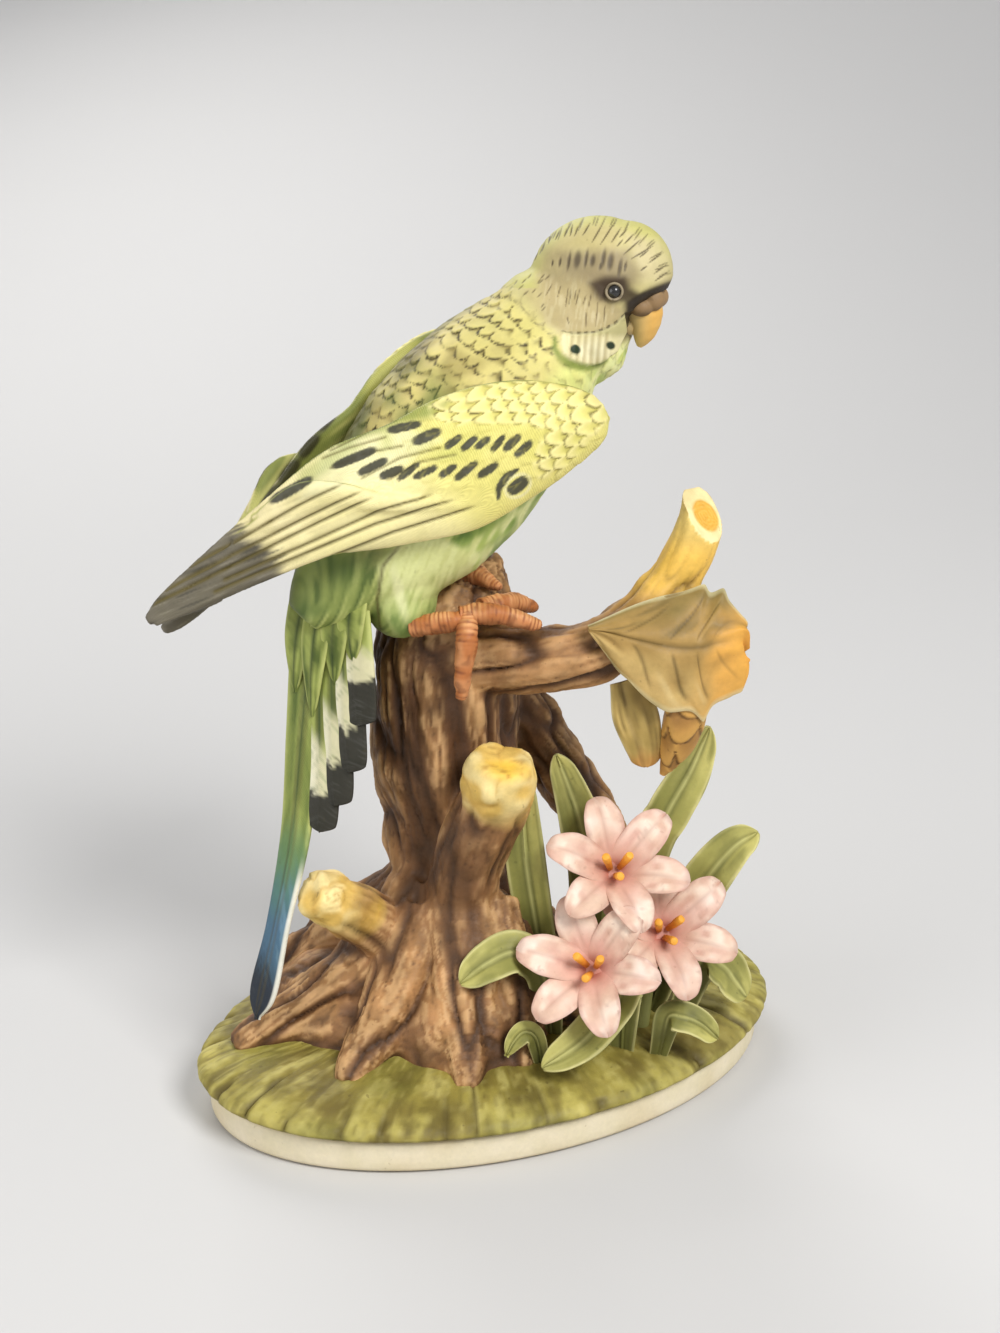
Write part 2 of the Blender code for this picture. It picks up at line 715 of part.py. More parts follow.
def head_axes():
    """The head's own axes: towards the beak, towards its right side, and up."""
    forward = Vector((math.cos(HEAD_TURN), math.sin(HEAD_TURN), 0))
    up = Vector((0, 0, 1))
    return forward, forward.cross(up), up


HEAD_CENTRE_ON_BODY = (0.0445, 0.0045, 0.0015)


def head(bm):
    centre = on_body(*HEAD_CENTRE_ON_BODY)
    forward, right, up = head_axes()
    axes = (forward, right, up)
    radius = HEAD_DIAMETER / 2

    def at(x, y, z):
        return centre + (forward * x + right * y + up * z) * radius

    ball(bm, at(-0.10, 0, 0.0), axes, (radius * 1.06, radius * 0.93, radius * 1.0))
    ball(bm, at(0.32, 0, 0.18), axes, (radius * 0.72, radius * 0.72, radius * 0.76))
    ball(bm, at(0.05, 0, -0.45), axes, (radius * 0.80, radius * 0.86, radius * 0.62))
    neck = [at(-0.18, 0, -0.1), at(-0.36, 0.1, -0.62), on_body(0.032, 0.001, 0.001),
            on_body(0.022, 0, 0.000)]
    widths = [radius * 0.94, radius * 0.97, radius * 1.02, radius * 1.02]
    tube(bm, [(*point, width) for point, width in zip(neck, widths)], count=20)
    for side in (-0.17, 0.17):
        ball(bm, at(0.94, side, 0.02), axes, (radius * 0.17, radius * 0.16, radius * 0.20))
    beak = BEAK_LENGTH
    root = at(0.74, 0, -0.20)
    hook = [
        (*(root + up * beak * 0.05), beak * 0.36),
        (*(root + forward * beak * 0.18 - up * beak * 0.22), beak * 0.32),
        (*(root + forward * beak * 0.16 - up * beak * 0.50), beak * 0.23),
        (*(root + forward * beak * 0.05 - up * beak * 0.78), beak * 0.13),
        (*(root - forward * beak * 0.05 - up * beak * 0.93), beak * 0.05),
    ]
    tube(bm, hook, count=14)
    ball(bm, at(0.66, 0, -0.62), axes, (beak * 0.26, beak * 0.26, beak * 0.22))


# The long middle feather of the tail, from the rump down to the moss
TAIL_ROOT = on_body(-0.0285, 0.000, 0.0020)
TAIL_LINE = [(-0.027, 0.0, 0.0), (-0.064, -0.012, -0.24), (-0.090, -0.042, -0.51),
             (-0.134, -0.095, -0.735), (-0.178, -0.158, -0.925)]
# Each side feather: share of the tail's length at its tip, and its places across at root and tip
TAIL_STEPS = [(0.53, 0.10, 0.72), (0.47, 0.35, 1.08), (0.40, 0.60, 1.42), (0.31, 0.80, 1.60)]
TAIL_SIDE = Vector((0.88, -0.47, 0)).normalized()
TAIL_REAR_SIDE = Vector((0.42, 0.91, 0)).normalized()


def tail_point(share):
    """A point on the tail's middle line, share 0 at the rump and 1 at the tip."""
    path = smooth_path(TAIL_LINE, 8)
    place = share * (len(path) - 1)
    low = min(int(place), len(path) - 2)
    value = path[low].lerp(path[low + 1], place - low)
    return TAIL_ROOT + value * TAIL_LENGTH


def tail(bm):
    shares = [-0.03, 0.15, 0.35, 0.55, 0.75, 0.92, 1.0]
    points = [tail_point(max(share, 0)) for share in shares]
    widths = [1.3, 1.35, 1.1, 0.85, 0.68, 0.78, 0.3]
    blade(bm, points, [width * TAIL_FEATHER_WIDTH for width in widths],
          TAIL_FEATHER_THICKNESS, TAIL_SIDE.cross(Vector((0, 0, 1))) * -1, count=12)
    for outward in (TAIL_SIDE, TAIL_REAR_SIDE):
        facing = outward.cross(Vector((0, 0, 1)))
        for end, inner, outer in TAIL_STEPS:
            line = []
            for share in (0.0, 0.4, 0.75, 0.93, 1.0):
                shift = inner + (outer - inner) * share
                line.append(tail_point(share * end) + outward * shift * TAIL_FEATHER_WIDTH)
            blade(bm, line, [share * TAIL_FEATHER_WIDTH for share in (0.8, 0.95, 1.0, 0.92, 0.70)],
                  TAIL_FEATHER_THICKNESS, facing, count=10)


def legs(bm):
    upright = (Vector((1, 0, 0)), Vector((0, 1, 0)), Vector((0, 0, 1)))
    stout = THIGH_RADIUS
    for x, y in ((-0.0172, -0.0065), (-0.0140, 0.0090)):
        tube(bm, [(x + 0.004, y * 0.75, PERCH + 0.014, stout * 1.15), (x, y, PERCH + 0.004, stout),
                  (x + 0.0015, y - 0.0006, PERCH - 0.0025, stout * 0.62)])
        ball(bm, Vector((x, y, PERCH + 0.002)), upright, (stout * 0.98, stout * 0.95, stout * 1.05))
    toes = [
        [(-0.0150, -0.0110, -0.0022), (-0.0090, -0.0125, -0.0008), (-0.0030, -0.0125, 0.0005)],
        [(-0.0060, -0.0120, 0.0005), (0.0010, -0.0115, 0.0005), (0.0085, -0.0105, -0.0018)],
        [(-0.0045, -0.0120, 0.0008), (-0.0045, -0.0148, -0.0040), (-0.0055, -0.0160, -0.0135)],
        [(-0.0020, -0.0100, 0.0012), (0.0040, -0.0060, 0.0010), (0.0080, -0.0020, -0.0010)],
        [(-0.0120, 0.0060, 0.0010), (-0.0040, 0.0030, 0.0040), (0.0010, -0.0010, 0.0030)],
    ]
    for line in toes:
        sizes = (1.0, 1.05, 0.6)
        tube(bm, [(x, y, PERCH + z, size * TOE_RADIUS) for (x, y, z), size in zip(line, sizes)], count=10)


def vent_channel():
    """The channel that lets the body's hollow breathe into the stump's hollow."""
    bm = bmesh.new()
    low = Vector((*CHANNEL_FOOT, GROUND + STUMP_HEIGHT * 0.90, CHANNEL_RADIUS))
    tube(bm, [low, (*BODY_CENTRE, CHANNEL_RADIUS)], steps=1, count=12)
    return new_object("channel", bm)


def hollow_bird(item):
    """Empties the body down to its wall and opens it into the stump."""
    bm = bmesh.new()
    rings = []
    inner = 1 - 2 * BIRD_WALL / BODY_WIDTH
    for along, height, depth, half in TORSO[3:-1]:
        centre = on_body(along * inner, 0, (height - depth) / 2)
        tall = BACK * ((height + depth) / 2 * BODY_DEPTH / DRAWN_BODY.z - BIRD_WALL)
        wide = RIGHT * (half * BODY_WIDTH / DRAWN_BODY.y - BIRD_WALL)
        rings.append(oval(centre, wide, tall, 14))
    loft(bm, rings)
    combine(item, new_object("body cavity", bm), "DIFFERENCE")
    combine(item, vent_channel(), "DIFFERENCE")
    keep_largest(item)


def bird():
    bm = bmesh.new()
    torso(bm)
    wing(bm, 1)
    wing(bm, -1)
    head(bm)
    tail(bm)
    legs(bm)
    made = new_object("bird", bm, material("bird bisque", (0.62, 0.66, 0.30), 0.7))
    fuse(made, BIRD_GRAIN, rounds=2)
    thin(made, BIRD_TRIANGLES)
    return made


# The autumn leaf, the hanging leaf and the bud at the branch

# Across the autumn leaf at its veins and teeth: upper edge, midrib and lower edge
AUTUMN_LEAF = [
    ((0.0180, -0.0125, -0.0013), (0.0179, -0.0135, -0.0017), (0.0181, -0.0140, -0.0022)),
    ((0.0214, -0.0115, 0.0000), (0.0218, -0.0145, -0.0020), (0.0205, -0.0142, -0.0060)),
    ((0.0280, -0.0095, 0.0023), (0.0259, -0.0155, -0.0028), (0.0233, -0.0145, -0.0098)),
    ((0.0331, -0.0085, 0.0037), (0.0307, -0.0160, -0.0038), (0.0263, -0.0150, -0.0125)),
    ((0.0374, -0.0082, 0.0048), (0.0337, -0.0160, -0.0044), (0.0303, -0.0150, -0.0161)),
    ((0.0402, -0.0080, 0.0056), (0.0370, -0.0158, -0.0047), (0.0334, -0.0150, -0.0179)),
    ((0.0414, -0.0086, 0.0040), (0.0385, -0.0156, -0.0046), (0.0375, -0.0150, -0.0177)),
    ((0.0438, -0.0088, 0.0050), (0.0399, -0.0154, -0.0046), (0.0402, -0.0145, -0.0201)),
    ((0.0450, -0.0098, 0.0028), (0.0419, -0.0150, -0.0040), (0.0421, -0.0142, -0.0168)),
    ((0.0469, -0.0105, 0.0004), (0.0445, -0.0140, -0.0039), (0.0455, -0.0135, -0.0152)),
    ((0.0488, -0.0112, -0.0019), (0.0478, -0.0125, -0.0041), (0.0483, -0.0130, -0.0140)),
    ((0.0487, -0.0114, -0.0050), (0.0487, -0.0118, -0.0070), (0.0487, -0.0122, -0.0100)),
]


def autumn_leaf():
    bm = bmesh.new()
    rings = []
    for upper, rib, lower in AUTUMN_LEAF:
        half = AUTUMN_LEAF_THICKNESS / 2
        line = smooth_path([Vector(upper), Vector(rib), Vector(lower)], 4)
        face = Vector((0, -half, half * 0.3))
        rings.append([Vector((0, 0, PERCH)) + point + face for point in line]
                     + [Vector((0, 0, PERCH)) + point - face for point in reversed(line)])
    loft(bm, rings)
    return new_object("autumn_leaf", bm, material("autumn leaf bisque", (0.55, 0.36, 0.12), 0.7))


def hanging_leaf():
    bm = bmesh.new()
    line = [(0.0255, -0.0090, -0.0135), (0.0275, -0.0105, -0.0200), (0.0292, -0.0102, -0.0260),
            (0.0300, -0.0095, -0.0310)]
    points = [Vector((x, y, PERCH + z)) for x, y, z in line]
    blade(bm, points, [0.0060, 0.0092, 0.0076, 0.0052], LEAF_THICKNESS, Vector((0, -1, 0)))
    return new_object("hanging_leaf", bm, material("hanging leaf bisque", (0.45, 0.32, 0.12), 0.7))


def bud():
    bm = bmesh.new()
    line = [(0.0385, -0.0108, -0.0140, 0.80), (0.0372, -0.0106, -0.0195, 1.0),
            (0.0360, -0.0104, -0.0250, 0.85), (0.0343, -0.0102, -0.0295, 0.50),
            (0.0331, -0.0100, -0.0325, 0.15)]
    tube(bm, [(x, y, PERCH + z, share * BUD_RADIUS) for x, y, z, share in line], steps=3)
    return new_object("bud", bm, material("bud bisque", (0.50, 0.33, 0.12), 0.7))


# The lily leaves: points above the ground, and the share of the leaf's width at each

LILY_LEAVES = [
    ([(0.0120, -0.0085, -0.002), (0.0095, -0.0095, 0.017), (0.0070, -0.0100, 0.034),
      (0.0062, -0.0096, 0.0445), (0.0064, -0.0090, 0.0525)], (0.5, 0.75, 0.85, 0.72, 0.42)),
    ([(0.0180, -0.0020, -0.002), (0.0195, -0.0030, 0.028), (0.0180, -0.0024, 0.0385),
      (0.0155, -0.0020, 0.047), (0.0127, -0.0020, 0.0545)], (0.5, 0.9, 0.95, 0.75, 0.45)),
    ([(0.0260, -0.0020, -0.002), (0.0310, -0.0045, 0.034), (0.0349, -0.0040, 0.0435),
      (0.0390, -0.0040, 0.052), (0.0424, -0.0040, 0.0612)], (0.5, 0.9, 1.0, 0.88, 0.50)),
    ([(0.0320, -0.0050, -0.002), (0.0385, -0.0080, 0.021), (0.0425, -0.0070, 0.0290),
      (0.0480, -0.0060, 0.0360), (0.0528, -0.0060, 0.0395)], (0.5, 0.95, 1.05, 0.88, 0.50)),
    ([(0.0120, -0.0150, -0.002), (0.0102, -0.0178, 0.0140), (0.0050, -0.0205, 0.0203),
      (-0.0005, -0.0222, 0.0190), (-0.0060, -0.0240, 0.0155)], (0.5, 0.75, 0.95, 0.88, 0.50)),
    ([(0.0260, -0.0190, -0.002), (0.0258, -0.0205, 0.0110), (0.0235, -0.0250, 0.0105),
      (0.0175, -0.0300, 0.0060), (0.0098, -0.0330, 0.0022)], (0.5, 0.8, 0.9, 0.88, 0.50)),
    ([(0.0380, -0.0060, -0.002), (0.0420, -0.0085, 0.0125), (0.0462, -0.0080, 0.0110),
      (0.0490, -0.0070, 0.0070), (0.0515, -0.0060, 0.0030)], (0.5, 0.85, 1.0, 0.92, 0.52)),
    ([(0.0330, -0.0200, -0.002), (0.0345, -0.0225, 0.0070), (0.0370, -0.0235, 0.0080),
      (0.0405, -0.0235, 0.0065), (0.0440, -0.0230, 0.0030)], (0.4, 0.6, 0.7, 0.62, 0.42)),
    ([(0.0100, -0.0250, -0.002), (0.0085, -0.0265, 0.0050), (0.0065, -0.0272, 0.0068),
      (0.0045, -0.0275, 0.0050), (0.0030, -0.0278, 0.0020)], (0.3, 0.45, 0.5, 0.4, 0.12)),
]

LEAF_FACING = [
    (-0.1, -1.0, 0.1), (0.1, -1.0, 0.1), (0.25, -1.0, 0.25), (-0.25, -0.75, 0.6), (-0.1, -0.7, 0.7),
    (-0.2, -0.6, 0.8), (0.2, -0.7, 0.7), (0.1, -0.7, 0.7), (0.0, -0.7, 0.7),
]


def lily_leaf(number, paint):
    line, shares = LILY_LEAVES[number]
    bm = bmesh.new()
    points = [Vector((x, y, GROUND + z)) for x, y, z in line]
    widths = [share * LILY_LEAF_WIDTH for share in shares]
    blade(bm, points, widths, LEAF_THICKNESS, Vector(LEAF_FACING[number]), cup=0.25, steps=3)
    return new_object(f"lily_leaf_{number + 1}", bm, paint)


# Each lily: name, centre above the ground, the way it faces, first petal's angle, foot of its stem
LILIES = [
    ("upper", (0.0243, -0.0140, 0.0355), (0.10, -0.72, 0.68), 18, (0.0235, -0.0085)),
    ("left", (0.0190, -0.0245, 0.0195), (-0.20, -0.78, 0.60), 6, (0.0195, -0.0135)),
    ("right", (0.0342, -0.0160, 0.0230), (0.23, -0.76, 0.60), 28, (0.0300, -0.0110)),
]
STAMENS = 3


def lily_axes(facing):
    out = Vector(facing).normalized()
    across = out.cross(Vector((0, 0, 1))).normalized()
    return out, across, across.cross(out)


def lily(name, centre, facing, first, foot, paint):
    out, across, upward = lily_axes(facing)
    middle = Vector((centre[0], centre[1], GROUND + centre[2]))
    bm = bmesh.new()
    for k in range(6):
        angle = math.radians(first + 60 * k)
        ray = across * math.cos(angle) + upward * math.sin(angle)
        under = 0.0006 if k % 2 else 0.0
        line = [middle - out * (0.0040 + under),
                middle + ray * PETAL_LENGTH * 0.20 - out * (0.0016 + under),
                middle + ray * PETAL_LENGTH * 0.58 + out * (0.0022 - under),
                middle + ray * PETAL_LENGTH * 0.84 + out * (0.0030 - under),
                middle + ray * PETAL_LENGTH * 0.97 + out * (0.0024 - under)]
        widths = [share * PETAL_WIDTH for share in (0.42, 0.88, 1.08, 0.82, 0.40)]
        blade(bm, line, widths, PETAL_THICKNESS, out, cup=0.16, count=10)
    root = Vector((foot[0], foot[1], GROUND - 0.002))
    bend = middle - out * 0.0075
    stem = [(*(middle - out * 0.0022), STEM_RADIUS * 1.3), (*bend, STEM_RADIUS),
            (*((bend + root) / 2 + Vector((0, 0.0015, 0))), STEM_RADIUS), (*root, STEM_RADIUS)]
    tube(bm, stem, count=10)
    made = new_object(f"lily_{name}", bm, paint)
    fuse(made, PETAL_GRAIN, rounds=1)
    thin(made, FLOWER_TRIANGLES)
    return made


def stamen(name, number, centre, facing, paint):
    out, across, upward = lily_axes(facing)
    middle = Vector((centre[0], centre[1], GROUND + centre[2]))
    angle = math.tau * (number + 0.25) / STAMENS
    lean = across * math.cos(angle) + upward * math.sin(angle)
    foot = middle + lean * 0.0011 - out * 0.0014
    tip = foot + (out + lean * 0.35).normalized() * STAMEN_LENGTH
    bm = bmesh.new()
    line = [(*foot, STAMEN_RADIUS), (*foot.lerp(tip, 0.55), STAMEN_RADIUS * 0.8),
            (*foot.lerp(tip, 0.75), STAMEN_RADIUS * 1.5), (*tip, STAMEN_RADIUS * 1.1)]
    tube(bm, line, steps=1, count=8)
    return new_object(f"stamen_{name}_{number + 1}", bm, paint)


def main():
    clear_scene()
    pivot = bpy.data.objects.new("turntable", None)
    bpy.context.scene.collection.objects.link(pivot)
    pivot.rotation_euler.z = -FOOT_TURN
    leaf_paint = material("lily leaf bisque", (0.30, 0.38, 0.14), 0.7)
    petal_paint = material("petal bisque", (0.80, 0.55, 0.52), 0.7)
    stamen_paint = material("stamen bisque", (0.80, 0.35, 0.05), 0.7)
    base = stump_and_base()
    parrot = bird()
    branch_leaf = autumn_leaf()
    flap = hanging_leaf()
    pod = bud()
    leaves = [lily_leaf(number, leaf_paint) for number in range(len(LILY_LEAVES))]
    lilies = [lily(*entry, petal_paint) for entry in LILIES]
    stamens = [stamen(name, number, centre, facing, stamen_paint)
               for name, centre, facing, first, foot in LILIES for number in range(STAMENS)]
    for flower in lilies:
        for rod in stamens:
            if rod.name.split("_")[1] == flower.name.split("_")[1]:
                seat(flower, rod)
    for i, flower in enumerate(lilies):
        for other in lilies[:i]:
            seat(flower, other)
    for leaf in leaves:
        for flower in lilies:
            seat(leaf, flower)
    for i, leaf in enumerate(leaves):
        for other in leaves[:i]:
            seat(leaf, other)
    seat(pod, branch_leaf)
    seat(flap, branch_leaf)
    seat(pod, flap)
    for luted in [parrot, branch_leaf, flap, pod, *leaves, *lilies]:
        seat(base, luted)
    combine(base, vent_channel(), "DIFFERENCE")
    hollow_bird(parrot)
    for item in [base, parrot, branch_leaf, flap, pod, *leaves, *lilies, *stamens]:
        finish(item, pivot)


main()
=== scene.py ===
import math

import bmesh
import bpy
import numpy as np
from mathutils import Matrix, Vector


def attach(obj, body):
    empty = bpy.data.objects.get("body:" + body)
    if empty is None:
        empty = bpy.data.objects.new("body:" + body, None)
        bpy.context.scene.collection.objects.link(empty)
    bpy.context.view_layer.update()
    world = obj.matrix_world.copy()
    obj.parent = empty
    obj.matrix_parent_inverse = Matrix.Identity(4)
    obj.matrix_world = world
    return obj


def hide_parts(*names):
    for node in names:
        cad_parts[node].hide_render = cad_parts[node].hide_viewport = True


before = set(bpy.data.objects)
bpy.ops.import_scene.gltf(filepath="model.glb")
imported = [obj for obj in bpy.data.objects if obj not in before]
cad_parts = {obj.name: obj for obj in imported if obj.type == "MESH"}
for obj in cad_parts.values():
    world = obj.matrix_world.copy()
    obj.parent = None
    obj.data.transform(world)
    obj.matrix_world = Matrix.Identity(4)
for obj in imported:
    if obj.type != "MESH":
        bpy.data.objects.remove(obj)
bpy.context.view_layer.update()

# A bisque porcelain parrot on a stump. Every piece is drawn as the viewer sees it, with X to the
# right, Y away and Z up, in metres, and is turned at the end so that the foot lies along world X.

FOOT_LENGTH = 0.120
FOOT_WIDTH = 0.078
FOOT_HEIGHT = 0.007
MOSS_HEIGHT = 0.007
MOSS_OVERHANG = 0.0026
FOOT_TURN = math.radians(26.6)
STUMP_HEIGHT = 0.086
STUMP_RADIUS = 0.0145
ROOT_RADIUS = 0.008
BRANCH_RADIUS = 0.0062
STUB_RADIUS = 0.0048
KNOT_RADIUS = 0.0068
HEAD_DIAMETER = 0.0246
BEAK_LENGTH = 0.0112
WING_THICKNESS = 0.009
LEFT_WING_DROP = 0.0062
TAIL_LENGTH = 0.095
TAIL_FEATHER_WIDTH = 0.0080
THIGH_RADIUS = 0.0072
TOE_RADIUS = 0.0019
BODY_HEADING = math.radians(22)
BODY_PITCH = math.radians(45)
BODY_ROLL = math.radians(8)
HEAD_TURN = math.radians(-16)
LEAF_THICKNESS = 0.0016
LILY_LEAF_WIDTH = 0.0094
BUD_RADIUS = 0.0041
PETAL_LENGTH = 0.0148
PETAL_WIDTH = 0.0076
PETAL_THICKNESS = 0.0012
STEM_RADIUS = 0.0016
STAMEN_LENGTH = 0.0052
STAMEN_RADIUS = 0.00062
GROUND = FOOT_HEIGHT + MOSS_HEIGHT
PERCH = GROUND + STUMP_HEIGHT
MM = 0.001
TIP_SHARE = 0.12
VENT_RADIUS = 0.0035
STUMP_VOXEL = 0.00060
BODY_VOXEL = 0.00052
WING_VOXEL = 0.00037
CERE_VOXEL = 0.00020
SHARP_ANGLE = math.radians(60)

# The viewer's eye: place, downward tilt and focal length in picture pixels
EYE = Vector((0.0017, -0.368, 0.215))
TILT = math.radians(19.3)
FOCAL = 2000.0
PICTURE_SIZE = (1000, 1333)
PICTURE_MIDDLE = (PICTURE_SIZE[0] / 2, PICTURE_SIZE[1] / 2)
SENSOR_WIDTH = 36

UP = Vector((0, 0, 1))
UPRIGHT = (Vector((1, 0, 0)), Vector((0, 1, 0)), UP)


# Lofted shapes

def extruded_ring(bm, ring):
    """The next ring of a loft, in the order of the ring that it grows from."""
    edges = [bm.edges.get((ring[i - 1], ring[i])) for i in range(len(ring))]
    made = bmesh.ops.extrude_edge_only(bm, edges=edges)
    index = {vert: i for i, vert in enumerate(ring)}
    following = [None] * len(ring)
    for vert in (item for item in made["geom"] if isinstance(item, bmesh.types.BMVert)):
        for edge in vert.link_edges:
            other = edge.other_vert(vert)
            if other in index:
                following[index[other]] = vert
    return following


def loft(bm, rings, marks=None):
    """A closed tube through rings of points. marks gives each point's values by layer name."""
    layers = {name: bm.verts.layers.float.get(name) or bm.verts.layers.float.new(name)
              for name in marks or {}}
    ring = bmesh.ops.create_circle(bm, segments=len(rings[0]), radius=1.0)["verts"]
    first = ring
    for row, points in enumerate(rings):
        if row:
            ring = extruded_ring(bm, ring)
        for k, (vert, point) in enumerate(zip(ring, points)):
            vert.co = point
            for name, layer in layers.items():
                vert[layer] = marks[name][row][k]
    bmesh.ops.contextual_create(bm, geom=first)
    bmesh.ops.contextual_create(bm, geom=ring)


def oval(centre, across, upward, count=16, lift=0.0, facing=None):
    """Points round an oval; lift arches it towards facing."""
    points = []
    for i in range(count):
        angle = math.tau * i / count
        point = centre + across * math.cos(angle) + upward * math.sin(angle)
        if facing:
            point = point + facing * lift * math.sin(angle) ** 2
        points.append(point)
    return points


def smooth_path(points, steps):
    """Points along a smooth curve through the given points, which may carry radii too."""
    values = [Vector(point) for point in points]
    ends = [values[0] * 2 - values[1]] + values + [values[-1] * 2 - values[-2]]
    path = []
    for i in range(len(values) - 1):
        before, start, end, after = ends[i:i + 4]
        for part in range(steps):
            t = part / steps
            path.append(0.5 * (
                2 * start
                + (end - before) * t
                + (2 * before - 5 * start + 4 * end - after) * t ** 2
                + (3 * start - before - 3 * end + after) * t ** 3
            ))
    path.append(values[-1])
    return path


def tube(bm, points, steps=4, count=16, swell=None, marks=False):
    """A round limb through points of x, y, z and radius. swell changes its radius along it."""
    path = smooth_path(points, steps)
    centres = [value.to_3d() for value in path]
    side = None
    rings = []
    along = []
    travelled = 0.0
    for i, centre in enumerate(centres):
        ahead = centres[min(i + 1, len(centres) - 1)]
        behind = centres[max(i - 1, 0)]
        travelled += (centre - centres[max(i - 1, 0)]).length
        direction = (ahead - behind).normalized()
        side = direction.orthogonal() if side is None else side - direction * side.dot(direction)
        side.normalize()
        radius = path[i][3] * (swell(travelled) if swell else 1.0)
        rings.append(oval(centre, side * radius, direction.cross(side) * radius, count))
        along.append([travelled] * count)
    loft(bm, rings, {"along": along} if marks else None)


def blade(bm, points, widths, thickness, facing, cup=0.0, steps=10, count=24, number=0):
    """A leaf, petal or feather along points, its broad side towards facing.

    Each point keeps its share along, its place across from -1 to 1, and the blade's number.
    """
    path = smooth_path([(*point, width) for point, width in zip(points, widths)], steps)
    centres = [value.to_3d() for value in path]
    rings = []
    along = []
    across_marks = []
    for i, centre in enumerate(centres):
        ahead = centres[min(i + 1, len(centres) - 1)]
        behind = centres[max(i - 1, 0)]
        direction = (ahead - behind).normalized()
        across = direction.cross(facing).normalized()
        outward = across.cross(direction).normalized()
        past = max(i / (len(centres) - 1) - 1 + TIP_SHARE, 0) / TIP_SHARE
        rounding = math.sqrt(max(1 - past ** 2, 0.04))
        half = max(path[i][3] / 2 * rounding, thickness / 3)
        deep = min(thickness / 2, half)
        ring = []
        reaches = []
        for k in range(count):
            angle = math.tau * k / count
            reach = math.cos(angle)
            lift = cup * half * reach ** 2
            thin = deep * math.copysign(abs(math.sin(angle)) ** 0.8, math.sin(angle))
            ring.append(centre + across * half * reach + outward * (thin + lift))
            reaches.append(reach)
        rings.append(ring)
        along.append([i / (len(centres) - 1)] * count)
        across_marks.append(reaches)
    numbers = [[number] * count] * len(rings)
    loft(bm, rings, {"along": along, "across": across_marks, "number": numbers})


def ball(bm, centre, axes, radii, detail=4):
    """An ellipsoid with the given radii along three axes."""
    for vert in bmesh.ops.create_icosphere(bm, subdivisions=detail, radius=1.0)["verts"]:
        x, y, z = vert.co
        vert.co = centre + axes[0] * x * radii[0] + axes[1] * y * radii[1] + axes[2] * z * radii[2]


def new_object(name, bm):
    """An object made from the mesh drawn so far."""
    bmesh.ops.recalc_face_normals(bm, faces=bm.faces)
    mesh = bpy.data.meshes.new(name)
    bm.to_mesh(mesh)
    bm.free()
    made = bpy.data.objects.new(name, mesh)
    bpy.context.scene.collection.objects.link(made)
    return made


def settle(item):
    """Applies an object's modifiers to its mesh."""
    bpy.context.view_layer.update()
    evaluated = item.evaluated_get(bpy.context.evaluated_depsgraph_get())
    mesh = bpy.data.meshes.new_from_object(evaluated)
    item.modifiers.clear()
    item.data = mesh


def fuse(item, voxel, rounds):
    """Joins overlapping lofts into one even skin."""
    remesh = item.modifiers.new("Fuse", "REMESH")
    remesh.mode = "VOXEL"
    remesh.voxel_size = voxel
    soften(item, rounds)


def soften(item, rounds):
    """Evens out a mesh over some rounds."""
    smooth = item.modifiers.new("Soften", "SMOOTH")
    smooth.factor = 0.5
    smooth.iterations = rounds
    settle(item)


# Painting

def hue(text):
    """A colour written as six hex digits, as the linear values that the nodes take."""
    values = [int(text[i:i + 2], 16) / 255 for i in (0, 2, 4)]
    return np.array([v / 12.92 if v <= 0.04045 else ((v + 0.055) / 1.055) ** 2.4 for v in values])


def step(low, high, value):
    """0 below low, 1 above high, and a smooth rise between."""
    share = np.clip((value - low) / (high - low), 0.0, 1.0)
    return share * share * (3 - 2 * share)


def fall(low, high, value):
    """1 below low, 0 above high, and a smooth fall between."""
    return 1 - step(low, high, value)


def strongest(masks):
    """The greatest of several masks at every point."""
    return np.max(list(masks), axis=0)


def bell(value, wide):
    """1 where value is 0, fading to nothing over a width."""
    return np.exp(-(value / wide) ** 2)


def chance(*cells):
    """A fixed number from 0 to 1 for each whole-number cell."""
    mixed = np.zeros(np.shape(cells[0]), np.int64)
    for cell, factor in zip(cells, (374761393, 668265263, 1274126177, 951274213)):
        mixed = mixed + np.asarray(cell).astype(np.int64) * factor
    mixed = ((mixed ^ (mixed >> 13)) * 1274126177) & 0x7FFFFFFF
    mixed = ((mixed ^ (mixed >> 15)) * 2246822519) & 0x7FFFFFFF
    return (mixed & 0xFFFF) / 65535.0


def grain(points, size, seed=0):
    """Smooth noise from -1 to 1 with bumps about one size apart."""
    place = points / size + seed * 7.31
    cell = np.floor(place)
    part = place - cell
    part = part * part * (3 - 2 * part)
    total = np.zeros(len(points))
    for corner in range(8):
        shift = np.array([corner & 1, corner >> 1 & 1, corner >> 2])
        weight = np.prod(np.where(shift, part, 1 - part), axis=1)
        at = cell + shift
        total += weight * chance(at[:, 0], at[:, 1], at[:, 2], seed + 5)
    return total * 2 - 1


